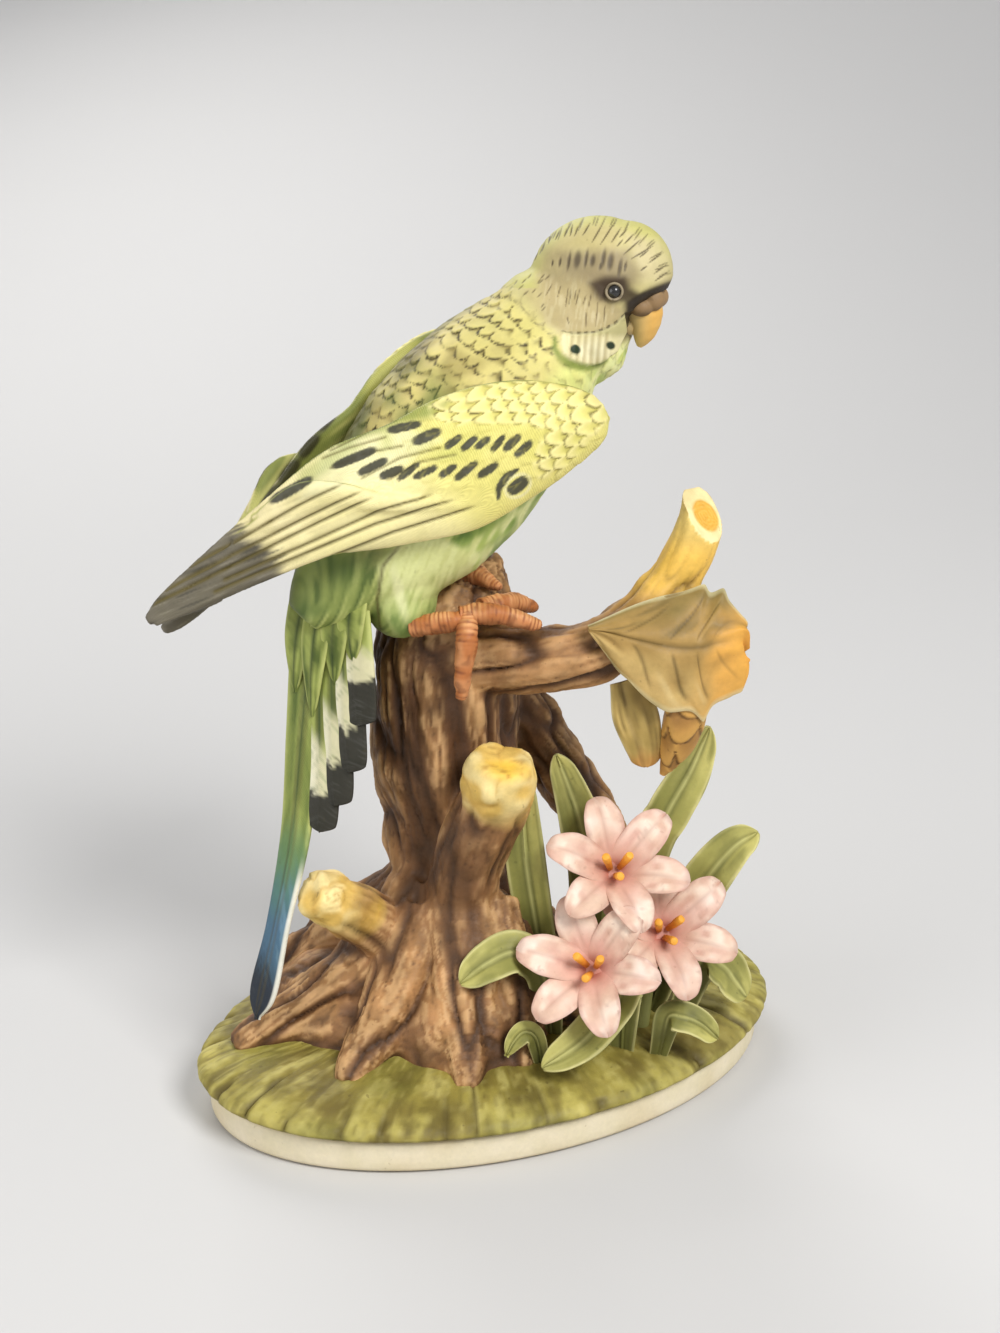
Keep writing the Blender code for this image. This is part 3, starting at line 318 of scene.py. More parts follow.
class Skin:
    """The vertices of a piece as arrays, to be shaped and painted."""

    def __init__(self, item):
        self.item = item
        self.read()
        count = len(self.points)
        self.paint = np.ones((count, 3))
        self.wash_and_shade = np.zeros(count)
        self.vane = np.zeros((count, 3))

    def read(self):
        mesh = self.item.data
        flat = np.empty(len(mesh.vertices) * 3, np.float32)
        mesh.vertices.foreach_get("co", flat)
        self.points = flat.reshape(-1, 3).astype(float)
        mesh.vertex_normals.foreach_get("vector", flat)
        self.normals = flat.reshape(-1, 3).astype(float)

    def mark(self, name):
        """The values of a layer that the loft left."""
        values = np.empty(len(self.points), np.float32)
        self.item.data.attributes[name].data.foreach_get("value", values)
        return values.astype(float)

    def lift(self, height):
        self.points = self.points + self.normals * np.asarray(height)[:, None]

    def tint(self, colour, mask=1.0):
        """Lays a colour over the paint where mask is 1."""
        mask = np.clip(np.broadcast_to(mask, len(self.points)), 0.0, 1.0)[:, None]
        self.paint = self.paint * (1 - mask) + hue(colour) * mask

    def groove(self, mask):
        """Darkens the hollows where mask is 1, with paint pooled there and painted shade."""
        self.wash_and_shade = np.maximum(self.wash_and_shade, np.clip(mask, 0.0, 1.0))

    def store(self):
        mesh = self.item.data
        mesh.vertices.foreach_set("co", self.points.astype(np.float32).ravel())
        for name, kind, key, values in (
            ("paint", "FLOAT_COLOR", "color", np.c_[self.paint, np.ones(len(self.points))]),
            ("wash_and_shade", "FLOAT", "value", self.wash_and_shade),
            ("vane", "FLOAT_VECTOR", "vector", self.vane),
        ):
            layer = mesh.attributes.new(name, kind, "POINT")
            layer.data.foreach_set(key, values.astype(np.float32).ravel())
        for name in ("along", "across", "number"):
            if name in mesh.attributes:
                mesh.attributes.remove(mesh.attributes[name])
        mesh.update()


def picture(points):
    """Where points fall in the viewer's picture, in pixels."""
    x = points[:, 0] - EYE.x
    y = points[:, 1] - EYE.y
    z = points[:, 2] - EYE.z
    depth = y * math.cos(TILT) - z * math.sin(TILT)
    above = y * math.sin(TILT) + z * math.cos(TILT)
    return np.c_[PICTURE_MIDDLE[0] + FOCAL * x / depth, PICTURE_MIDDLE[1] - FOCAL * above / depth]


def line_gap(places, line):
    """Distance to a polyline, the share of the way along it, and the side: 1 or -1."""
    line = np.asarray(line, float)
    lengths = np.linalg.norm(line[1:] - line[:-1], axis=1)
    starts = np.r_[0, np.cumsum(lengths)]
    best = np.full(len(places), 1e9)
    share = np.zeros(len(places))
    side = np.ones(len(places))
    for i, (start, end) in enumerate(zip(line[:-1], line[1:])):
        run = end - start
        off = places - start
        t = np.clip(off @ run / (run @ run), 0, 1)
        gap = np.linalg.norm(off - t[:, None] * run, axis=1)
        closer = gap < best
        best = np.where(closer, gap, best)
        share = np.where(closer, (starts[i] + t * lengths[i]) / starts[-1], share)
        side = np.where(closer, np.sign(run[0] * off[:, 1] - run[1] * off[:, 0]), side)
    return best, share, side


def stroke(places, line, width, soft=0.8, taper=0.5):
    """Mask of a brush stroke along a polyline, thinner towards its ends."""
    gap, share, _ = line_gap(places, line)
    wide = width / 2 * (1 - taper * np.abs(share * 2 - 1) ** 2)
    return fall(wide - soft / 2, wide + soft / 2, gap)


def spot(places, centre, long, short, lean=(1, 0), soft=0.15, blunt=2.0):
    """Mask of a slanted spot; long and short are its half sizes, and blunt squares its ends."""
    lean = np.array(lean, float) / math.hypot(*lean)
    off = places - np.array(centre, float)
    u = off @ lean / long
    v = off @ np.array([-lean[1], lean[0]]) / short
    return fall(1 - soft, 1 + soft, (np.abs(u) ** blunt + np.abs(v) ** blunt) ** (1 / blunt))


def inside(places, outline, soft=1.0):
    """Mask of a polygon with a soft edge."""
    outline = np.asarray(outline, float)
    odd = np.zeros(len(places), bool)
    for a, b in zip(outline, np.roll(outline, -1, axis=0)):
        crosses = (a[1] > places[:, 1]) != (b[1] > places[:, 1])
        rise = b[1] - a[1] if b[1] != a[1] else 1e-9
        at = a[0] + (places[:, 1] - a[1]) / rise * (b[0] - a[0])
        odd ^= crosses & (places[:, 0] < at)
    gap = line_gap(places, np.r_[outline, outline[:1]])[0]
    signed = np.where(odd, gap, -gap)
    return step(-soft / 2, soft / 2, signed)


def brushed(places, way, long, wide, seed):
    """Noise drawn out into strokes: long along a way in the picture and wide across it."""
    way = np.array(way, float) / math.hypot(*way)
    side = np.array([-way[1], way[0]])
    return grain(np.c_[places @ way / long, places @ side / wide, places[:, 0] * 0], 1.0, seed)


def scales(f, c, seed):
    """Overlapping feather scales, one unit long and wide; f runs towards their round tips, c across.

    Gives the height of a scale from 0 to 1, a mask of the dark line under its rim, and its number.
    """
    row = np.floor(f)
    part = f - row

    def rim_of(rows):
        middle = c + 0.5 * (rows % 2) + 0.12 * np.sin(rows * 2.3 + seed)
        column = np.floor(middle)
        off = (middle - column - 0.5) / 0.525
        return np.sqrt(np.clip(1 - off * off, 0, 1)), column

    rim0, column0 = rim_of(row)
    rim1, column1 = rim_of(row - 1)
    own = part < rim0
    edge = np.where(own, rim0 - part, rim1 - part + 1)
    number = np.where(own, chance(row, column0, row * 0 + seed, row * 0),
                      chance(row - 1, column1, row * 0 + seed, row * 0))
    beyond = np.where(own, 1.0, part - rim0)
    height = 1 - np.clip(edge, 0, 1.6) / 1.6
    height = np.where(edge < 0.10, height * (0.55 + 4.5 * edge), height)
    line = bell(beyond, 0.16) * (~own) + bell(edge, 0.07) * 0.8 * own
    return height, np.clip(line, 0, 1), number


# Shader groups

def add_node(tree, kind, **values):
    """A node with some of its properties set by name."""
    made = tree.nodes.new(kind)
    for name, value in values.items():
        setattr(made, name, value)
    return made


def group(name, inputs, outputs):
    """A new shader group with named sockets, and its input and output nodes."""
    tree = bpy.data.node_groups.new(name, "ShaderNodeTree")
    for label, kind, value in inputs:
        made = tree.interface.new_socket(name=label, in_out="INPUT", socket_type=kind)
        if value is not None:
            made.default_value = value
    for label, kind in outputs:
        tree.interface.new_socket(name=label, in_out="OUTPUT", socket_type=kind)
    return tree, tree.nodes.new("NodeGroupInput"), tree.nodes.new("NodeGroupOutput")


def noise_node(tree, vector, scale, detail=3.0, rough=0.55):
    made = add_node(tree, "ShaderNodeTexNoise")
    made.inputs["Scale"].default_value = scale
    made.inputs["Detail"].default_value = detail
    made.inputs["Roughness"].default_value = rough
    tree.links.new(vector, made.inputs["Vector"])
    return made.outputs["Fac"]


def spread(tree, value, low, high, start=0.3, end=0.7):
    """Maps start..end of a noise to low..high."""
    made = add_node(tree, "ShaderNodeMapRange")
    tree.links.new(value, made.inputs["Value"])
    for label, number in (("From Min", start), ("From Max", end), ("To Min", low), ("To Max", high)):
        if isinstance(number, (int, float)):
            made.inputs[label].default_value = number
        else:
            tree.links.new(number, made.inputs[label])
    return made.outputs["Result"]


def sum_node(tree, first, second, operation="ADD"):
    made = add_node(tree, "ShaderNodeMath", operation=operation)
    for place, value in enumerate((first, second)):
        if isinstance(value, (int, float)):
            made.inputs[place].default_value = value
        else:
            tree.links.new(value, made.inputs[place])
    return made.outputs["Value"]


def blend_node(tree, share, first, second, mode="MIX"):
    made = add_node(tree, "ShaderNodeMix", data_type="RGBA", blend_type=mode)
    for label, value in (("Factor", share), ("A", first), ("B", second)):
        socket = next(s for s in made.inputs if s.name == label and s.type == ("VALUE" if label == "Factor"
                                                                               else "RGBA"))
        if isinstance(value, bpy.types.NodeSocket):
            tree.links.new(value, socket)
        else:
            socket.default_value = value
    return next(s for s in made.outputs if s.type == "RGBA")


def bisque_group():
    """Painted bisque: mottled paint, pooled paint and painted shade in the hollows, dust specks, and the
    grain of the body.
    """
    tree, given, result = group("painted bisque", [
        ("Paint", "NodeSocketColor", (0.8, 0.8, 0.8, 1)),
        ("Wash", "NodeSocketFloat", 0.0),
        ("Wash Tint", "NodeSocketColor", (0.1, 0.06, 0.02, 1)),
        ("Mottle", "NodeSocketFloat", 0.10),
        ("Specks", "NodeSocketFloat", 0.3),
    ], [("Colour", "NodeSocketColor"), ("Roughness", "NodeSocketFloat"), ("Height", "NodeSocketFloat")])
    place = add_node(tree, "ShaderNodeTexCoord").outputs["Object"]
    cloudy = noise_node(tree, place, 160.0, 4.0)
    fine = noise_node(tree, place, 1100.0, 4.0, 0.6)
    pits = noise_node(tree, place, 4200.0, 2.0)
    less = sum_node(tree, 1.0, given.outputs["Mottle"], "SUBTRACT")
    more = sum_node(tree, 1.0, given.outputs["Mottle"])
    shade = sum_node(tree, spread(tree, cloudy, less, more), spread(tree, fine, 0.96, 1.04), "MULTIPLY")
    both = add_node(tree, "ShaderNodeCombineColor")
    for label in ("Red", "Green"):
        tree.links.new(shade, both.inputs[label])
    tree.links.new(sum_node(tree, shade, spread(tree, cloudy, 0.95, 1.04), "MULTIPLY"), both.inputs["Blue"])
    painted = blend_node(tree, 1.0, given.outputs["Paint"], both.outputs["Color"], "MULTIPLY")
    # Darkens the paint towards the tint in the hollows: pooled paint and painted shade
    settled = sum_node(tree, given.outputs["Wash"], spread(tree, fine, 0.75, 1.1), "MULTIPLY")
    washed_and_shaded = blend_node(tree, settled, painted, given.outputs["Wash Tint"])
    dust = noise_node(tree, place, 700.0, 1.0)
    speck = sum_node(tree, spread(tree, dust, 0.0, 1.0, 0.74, 0.78), given.outputs["Specks"], "MULTIPLY")
    tree.links.new(blend_node(tree, speck, washed_and_shaded, given.outputs["Wash Tint"]), result.inputs["Colour"])
    tree.links.new(spread(tree, fine, 0.50, 0.68), result.inputs["Roughness"])
    tree.links.new(sum_node(tree, sum_node(tree, fine, 0.6, "MULTIPLY"),
                            sum_node(tree, pits, 0.4, "MULTIPLY")),
                   result.inputs["Height"])
    return tree


def barb_group():
    """The fine slanting barbs of a feather vane, from its coordinates in millimetres."""
    tree, given, result = group("feather barbs", [
        ("Vane", "NodeSocketVector", None),
        ("Spacing", "NodeSocketFloat", 0.45),
        ("Slant", "NodeSocketFloat", 1.3),
    ], [("Height", "NodeSocketFloat"), ("Shade", "NodeSocketFloat")])
    parts = add_node(tree, "ShaderNodeSeparateXYZ")
    tree.links.new(given.outputs["Vane"], parts.inputs["Vector"])
    across = sum_node(tree, parts.outputs["Y"], 0.0, "ABSOLUTE")
    slanted = sum_node(tree, parts.outputs["X"], sum_node(tree, across, given.outputs["Slant"], "MULTIPLY"))
    place = add_node(tree, "ShaderNodeTexCoord").outputs["Object"]
    wander = spread(tree, noise_node(tree, place, 300.0, 2.0), -0.25, 0.25)
    turns = sum_node(tree, sum_node(tree, slanted, wander), given.outputs["Spacing"], "DIVIDE")
    wave = sum_node(tree, sum_node(tree, turns, math.tau, "MULTIPLY"), 0.0, "SINE")
    kept = sum_node(tree, wave, parts.outputs["Z"], "MULTIPLY")
    tree.links.new(kept, result.inputs["Height"])
    tree.links.new(spread(tree, kept, 0.93, 1.03, -1.0, 1.0), result.inputs["Shade"])
    return tree


BISQUE = bisque_group()
BARBS = barb_group()


def porcelain(name, wash_and_shade, mottle=0.10, specks=0.3, relief=0.00010, feathered=False):
    """A matte painted porcelain that reads the paint of its piece."""
    made = bpy.data.materials.new(name)
    made.use_nodes = True
    tree = made.node_tree
    shader = tree.nodes["Principled BSDF"]
    body = add_node(tree, "ShaderNodeGroup", node_tree=BISQUE)
    # The tint of the paint pooled in the hollows and of the painted shade there
    body.inputs["Wash Tint"].default_value = (*hue(wash_and_shade), 1)
    body.inputs["Mottle"].default_value = mottle
    body.inputs["Specks"].default_value = specks
    for label, source in (("Paint", "paint"), ("Wash", "wash_and_shade")):
        read = add_node(tree, "ShaderNodeAttribute", attribute_name=source)
        tree.links.new(read.outputs["Color" if label == "Paint" else "Fac"], body.inputs[label])
    colour = body.outputs["Colour"]
    bump = add_node(tree, "ShaderNodeBump")
    bump.inputs["Strength"].default_value = 0.55
    bump.inputs["Distance"].default_value = relief
    tree.links.new(body.outputs["Height"], bump.inputs["Height"])
    normal = bump.outputs["Normal"]
    if feathered:
        vane = add_node(tree, "ShaderNodeAttribute", attribute_name="vane")
        barbs = add_node(tree, "ShaderNodeGroup", node_tree=BARBS)
        tree.links.new(vane.outputs["Vector"], barbs.inputs["Vane"])
        combed = add_node(tree, "ShaderNodeBump")
        combed.inputs["Strength"].default_value = 0.5
        combed.inputs["Distance"].default_value = 0.00005
        tree.links.new(barbs.outputs["Height"], combed.inputs["Height"])
        tree.links.new(normal, combed.inputs["Normal"])
        normal = combed.outputs["Normal"]
        grey = add_node(tree, "ShaderNodeCombineColor")
        for label in ("Red", "Green", "Blue"):
            tree.links.new(barbs.outputs["Shade"], grey.inputs[label])
        colour = blend_node(tree, 1.0, colour, grey.outputs["Color"], "MULTIPLY")
    tree.links.new(colour, shader.inputs["Base Color"])
    tree.links.new(body.outputs["Roughness"], shader.inputs["Roughness"])
    tree.links.new(normal, shader.inputs["Normal"])
    shader.inputs["Specular IOR Level"].default_value = 0.35
    return made


def place_piece(skin, paint, node):
    """Stores a piece's skin, turns it into the frame, and hangs it on the model."""
    skin.store()
    item = skin.item
    item.data.transform(Matrix.Rotation(-FOOT_TURN, 4, "Z"))
    item.data.materials.clear()
    item.data.materials.append(paint)
    item.data.shade_smooth()
    item.data.set_sharp_from_angle(angle=SHARP_ANGLE)
    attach(item, "root")
    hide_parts(node)


# The foot and the moss

def foot_outline(inset, height, count):
    """Points of the foot's oval, set in by an inset."""
    turn = Matrix.Rotation(FOOT_TURN, 3, "Z")
    points = []
    for i in range(count):
        angle = math.tau * i / count
        reach = max(1 - inset / (FOOT_WIDTH / 2), 0.02)
        point = Vector(((FOOT_LENGTH / 2 - inset) * math.cos(angle),
                        FOOT_WIDTH / 2 * reach * math.sin(angle), height))
        points.append(turn @ point)
    return points


def foot():
    bm = bmesh.new()
    profile = [(0.0130, 0.0009), (0.0100, 0.0008), (0.0075, 0.0005), (0.0045, 0.0001), (0.0026, 0.0),
               (0.0011, 0.0002), (0.0003, 0.0007), (0.0, 0.0014), (0.0, 0.0030), (0.0, 0.0048),
               (0.0, FOOT_HEIGHT - 0.0010), (0.0002, FOOT_HEIGHT - 0.0003), (0.0008, FOOT_HEIGHT),
               (0.0030, FOOT_HEIGHT + 0.0005)]
    loft(bm, [foot_outline(inset, height, 200) for inset, height in profile])
    vent = bmesh.ops.create_cone(bm, cap_ends=True, segments=40, radius1=VENT_RADIUS, radius2=VENT_RADIUS,
                                 depth=0.003)["verts"]
    turn = Matrix.Rotation(FOOT_TURN, 3, "Z")
    bmesh.ops.translate(bm, verts=vent, vec=turn @ Vector((FOOT_LENGTH / 4, 0, 0.0027)))
    skin = Skin(new_object("foot", bm))
    skin.tint("ded2b4")
    height = skin.points[:, 2]
    speck = grain(skin.points, 0.009, 3)
    # Clouds of darker tone, with painted shade in a band just under the moss's overhanging lip and along the
    # foot's lower edge
    skin.tint("cbb98f", 0.5 * step(0.0, 0.8, speck) + 0.6 * step(0.0058, 0.0072, height))
    skin.tint("a98f62", 0.5 * fall(0.0, 0.0011, height))
    place_piece(skin, porcelain("bare foot bisque", "9c8350", mottle=0.05, relief=0.00005), "stump_and_base")


# Places round the rim where the moss may be notched
MOSS_CUTS = 37


def moss():
    """The mossy ground, with a lobed rim that laps over the foot."""
    profile = [(0.0024, FOOT_HEIGHT - 0.0002), (0.0006, FOOT_HEIGHT - 0.0003),
               (-MOSS_OVERHANG * 0.62, FOOT_HEIGHT + 0.0001), (-MOSS_OVERHANG, FOOT_HEIGHT + 0.0016),
               (-MOSS_OVERHANG * 0.62, FOOT_HEIGHT + 0.0034), (0.0008, GROUND - 0.0024),
               (0.0050, GROUND - 0.0010), (0.0110, GROUND - 0.0002), (0.0190, GROUND + 0.0004),
               (0.0270, GROUND + 0.0008), (0.0345, GROUND + 0.0010)]
    path = smooth_path([(inset, 0.0, height) for inset, height in profile], 9)
    count = 520
    rings = [foot_outline(value.x, value.z, count) for value in path]
    rows = [[value.x] * count for value in path]
    angles = [[math.tau * i / count for i in range(count)]] * len(path)
    bm = bmesh.new()
    loft(bm, rings, {"along": rows, "across": angles})
    skin = Skin(new_object("moss", bm))
    inset = skin.mark("along") * 1000
    angle = skin.mark("across")
    place = angle / math.tau * MOSS_CUTS + 0.75 * np.sin(angle * 3 + 0.7) + 0.40 * np.sin(angle * 7)
    cell = np.round(place)
    order = cell % MOSS_CUTS
    zero = cell * 0
    jitter = (chance(order, zero, zero + 2, zero) - 0.5) * 0.55
    strength = (step(0.22, 0.45, chance(order, zero + 4, zero, zero))
                * (0.6 + 0.4 * chance(order, zero, zero + 6, zero)))
    reach = 2.2 + 15.0 * chance(order, zero + 1, zero, zero + 3) ** 1.7
    wander = 0.9 * grain(skin.points, 0.006, 5)
    gap = np.abs((place - cell - jitter) * 8.4 + wander * step(1.0, 8.0, inset))
    top = step(0.0068, 0.0092, skin.points[:, 2])
    fade = top * fall(reach * 0.4, reach, inset + 2.6) * strength
    cut = bell(gap, 0.50) * fade
    bulge = 1 - bell(gap, 2.2) * strength * fall(2.0, 9.0, inset)
    furrow = grain(np.c_[angle * 26 + 0.4 * grain(skin.points, 0.008, 7), inset / 8.0, inset * 0], 1.0, 6)
    furrow *= fall(14.0, 26.0, inset)
    lumps = grain(skin.points, 0.0072, 1)
    tufts = grain(skin.points, 0.0024, 2)
    crumbs = grain(skin.points, 0.0011, 4)
    skin.lift(MM * (-1.05 * cut - 0.72 + (0.40 * bulge + 0.30 * lumps + 0.22 * furrow + 0.10 * tufts
                                          + 0.05 * crumbs) * top))
    skin.tint("7f7230")
    # Painted light on raised lumps, on furrow ridges and on the bulging lobes of the rim, and painted shade
    # in the furrows' hollows
    skin.tint("9c8f42", step(-0.3, 0.6, lumps + 0.5 * furrow) * 0.8)
    skin.tint("b5a857", 0.70 * step(-3.0, -0.5, -inset) * step(0.3, 1.0, bulge + tufts * 0.3 + 0.3 * furrow))
    skin.tint("c3b76e", 0.50 * step(0.15, 0.7, furrow + 0.3 * crumbs))
    skin.tint("6a5c27", 0.65 * step(0.05, 0.7, -furrow - 0.3 * tufts))
    skin.tint("83803a", 0.45 * step(0.0, 0.7, grain(skin.points, 0.013, 8)))
    # Painted shade in the notches of the rim
    skin.tint("54491d", 0.80 * cut)
    rough = grain(np.c_[angle * 60, inset / 2.2, skin.points[:, 2] / 0.002], 1.0, 9)
    skin.tint("5c5020", 0.38 * step(0.1, 0.6, rough + 0.3 * crumbs))
    skin.tint("beb268", 0.30 * step(0.15, 0.7, -rough + 0.2 * tufts))
    # Painted shade in the hollows between lumps, and on the rim's sides and underside where it laps over the
    # foot
    skin.tint("5f5023", 0.45 * step(0.2, 0.8, -lumps - 0.3 * crumbs))
    skin.tint("54451c", 0.55 * fall(0.0066, 0.0090, skin.points[:, 2]))
    skin.groove(cut * 0.9)
    place_piece(skin, porcelain("mossy bisque", "4a3d16", mottle=0.20, specks=0.4, relief=0.00025),
                "stump_and_base")


# The stump with its roots and limbs: x and y in millimetres, share of the stump's height (of a root,
# its height in millimetres), and share of the limb's radius

TRUNK = [
    (-8, 3, -0.05, 1.32),
    (-9, 4, 0.07, 1.12),
    (-9, 5, 0.19, 0.97),
    (-8.5, 6, 0.30, 0.86),
    (-8.5, 6, 0.44, 0.87),
    (-9, 6, 0.58, 0.98),
    (-9, 6, 0.75, 1.02),
    (-8, 6.5, 0.88, 0.98),
    (-5, 9, 0.98, 0.72),
    (-2.5, 10, 1.04, 0.42),
    (-1, 10, 1.075, 0.22),
]
ROOTS = [
    [(-10, 0, 24, 1.3), (-22, -5, 10, 1.15), (-34, -11, 4, 0.85),
     (-45, -15.5, 0, 0.6), (-51, -18, -2, 0.35)],
    [(-14, 5, 22, 1.1), (-27, 8, 12, 0.9), (-37, 8, 6, 0.75), (-46, 5, 1, 0.5)],
    [(-12, -6, 22, 1.0), (-20, -18, 6, 0.8), (-26, -27, 0, 0.5), (-28, -32, -2, 0.3)],
    [(-6, -6, 26, 1.1), (-5, -19, 8, 0.85), (-4.5, -29, 0, 0.5), (-4.5, -34, -2, 0.3)],
    [(0, -6, 24, 0.95), (4, -16, 8, 0.75), (5.5, -23, 0, 0.45), (6, -27, -2, 0.3)],
    [(1, 0, 20, 1.0), (11, -6, 6, 0.75), (20, -11, 0, 0.45)],
    [(-8, 10, 20, 1.0), (-12, 22, 6, 0.8), (-18, 32, -1, 0.4)],
    [(0, 10, 20, 1.0), (8, 21, 5, 0.8), (16, 29, -1, 0.4)],
]
BRANCH = [(-6, 0, 0.86, 1.15), (6, -5, 0.88, 1.05), (16, -6.5, 0.895, 0.95),
          (24, -6, 0.925, 0.95), (30, -4, 0.97, 0.9)]
STUB = [(24, -5.5, 0.93, 1.15), (31, -3.5, 0.995, 1.1), (37, -1, 1.09, 1.0),
        (40.2, 0, 1.19, 0.95), (40.8, 0, 1.245, 0.95)]
BACK_LIMB = [(0, 8, 0.80, 1.0), (8, 14, 0.63, 0.95), (15, 19, 0.49, 0.9),
             (22, 24, 0.33, 0.85), (30, 27, 0.17, 0.85), (36, 27, -0.02, 1.1)]
FRONT_LIMB = [(-7, -6, 0.12, 1.1), (-6, -9, 0.36, 1.0), (-1, -11, 0.52, 1.0),
              (1.2, -12.5, 0.585, 1.0)]
FRONT_KNOT = [(1.2, -12.5, 0.585, 1.0), (1.5, -14.5, 0.63, 1.08), (2.2, -16, 0.69, 0.85)]
SIDE_LIMB = [(-15, -4, 0.12, 1.0), (-22, -8, 0.22, 0.95), (-28, -12, 0.30, 0.9)]
SIDE_KNOT = [(-26, -11, 0.28, 0.88), (-31, -13.5, 0.33, 0.88), (-35.2, -15.5, 0.365, 0.70)]
# Mounds at the foot of the trunk in millimetres: centre above the ground, and radii
MOUNDS = [((-21, -5, -2), (27, 19, 15)), ((-6, -11, -2), (18, 19, 18)),
          ((-8, 10, -2), (21, 18, 15))]
# Width of a strand of bark, and the way the stub's sawn face looks
STRAND = 0.0044
CUT_FACING = Vector((0.62, -0.50, 0.60)).normalized()


def on_stump(points, radius):
    return [(x * MM, y * MM, GROUND + share * STUMP_HEIGHT, part * radius) for x, y, share, part in points]


def limbs():
    """Every limb's kind with its points of x, y, z and radius."""
    made = [("trunk", on_stump(TRUNK, STUMP_RADIUS))]
    for root in ROOTS:
        made.append(("root", [(x * MM, y * MM, GROUND + z * MM, part * ROOT_RADIUS)
                              for x, y, z, part in root]))
    made += [
        ("branch", on_stump(BRANCH, BRANCH_RADIUS)),
        ("stub", on_stump(STUB, STUB_RADIUS)),
        ("back", on_stump(BACK_LIMB, BRANCH_RADIUS)),
        ("front", on_stump(FRONT_LIMB, KNOT_RADIUS)),
        ("knot", on_stump(FRONT_KNOT, KNOT_RADIUS)),
        ("side", on_stump(SIDE_LIMB, BRANCH_RADIUS)),
        ("knot", on_stump(SIDE_KNOT, BRANCH_RADIUS)),
    ]
    return made


def limb_places(points, line):
    """For every point: its distance in limb radii, its angle round the limb and its way along it."""
    path = smooth_path(line, 6)
    centres = np.array([value.to_3d() for value in path])
    radii = np.array([value[3] for value in path])
    tangents = np.gradient(centres, axis=0)
    tangents /= np.linalg.norm(tangents, axis=1)[:, None]
    side = Vector(tangents[0]).orthogonal()
    sides = []
    for tangent in tangents:
        along = Vector(tangent)
        side = (side - along * side.dot(along)).normalized()
        sides.append(side.copy())
    sides = np.array(sides)
    ups = np.cross(tangents, sides)
    travelled = np.r_[0, np.cumsum(np.linalg.norm(centres[1:] - centres[:-1], axis=1))]
    best = np.full(len(points), 1e9)
    nearest = np.zeros(len(points), int)
    for i, (centre, radius) in enumerate(zip(centres, radii)):
        share = np.linalg.norm(points - centre, axis=1) / radius
        closer = share < best
        best[closer] = share[closer]
        nearest[closer] = i
    off = points - centres[nearest]
    angle = np.arctan2((off * ups[nearest]).sum(1), (off * sides[nearest]).sum(1))
    way = travelled[nearest] + (off * tangents[nearest]).sum(1)
    return best, angle, way, radii[nearest]


def strands(angle, way, radius, spacing, stretch, seed):
    """Long strands of bark: 0 in the creases between them and 1 on their backs."""
    twist = angle + way * 9
    across = np.c_[np.cos(twist) * radius / spacing, np.sin(twist) * radius / spacing,
                   way / (spacing * stretch)]
    wave = grain(across, 1.0, seed)
    return np.clip(np.abs(wave) / 0.55, 0, 1) ** 0.75


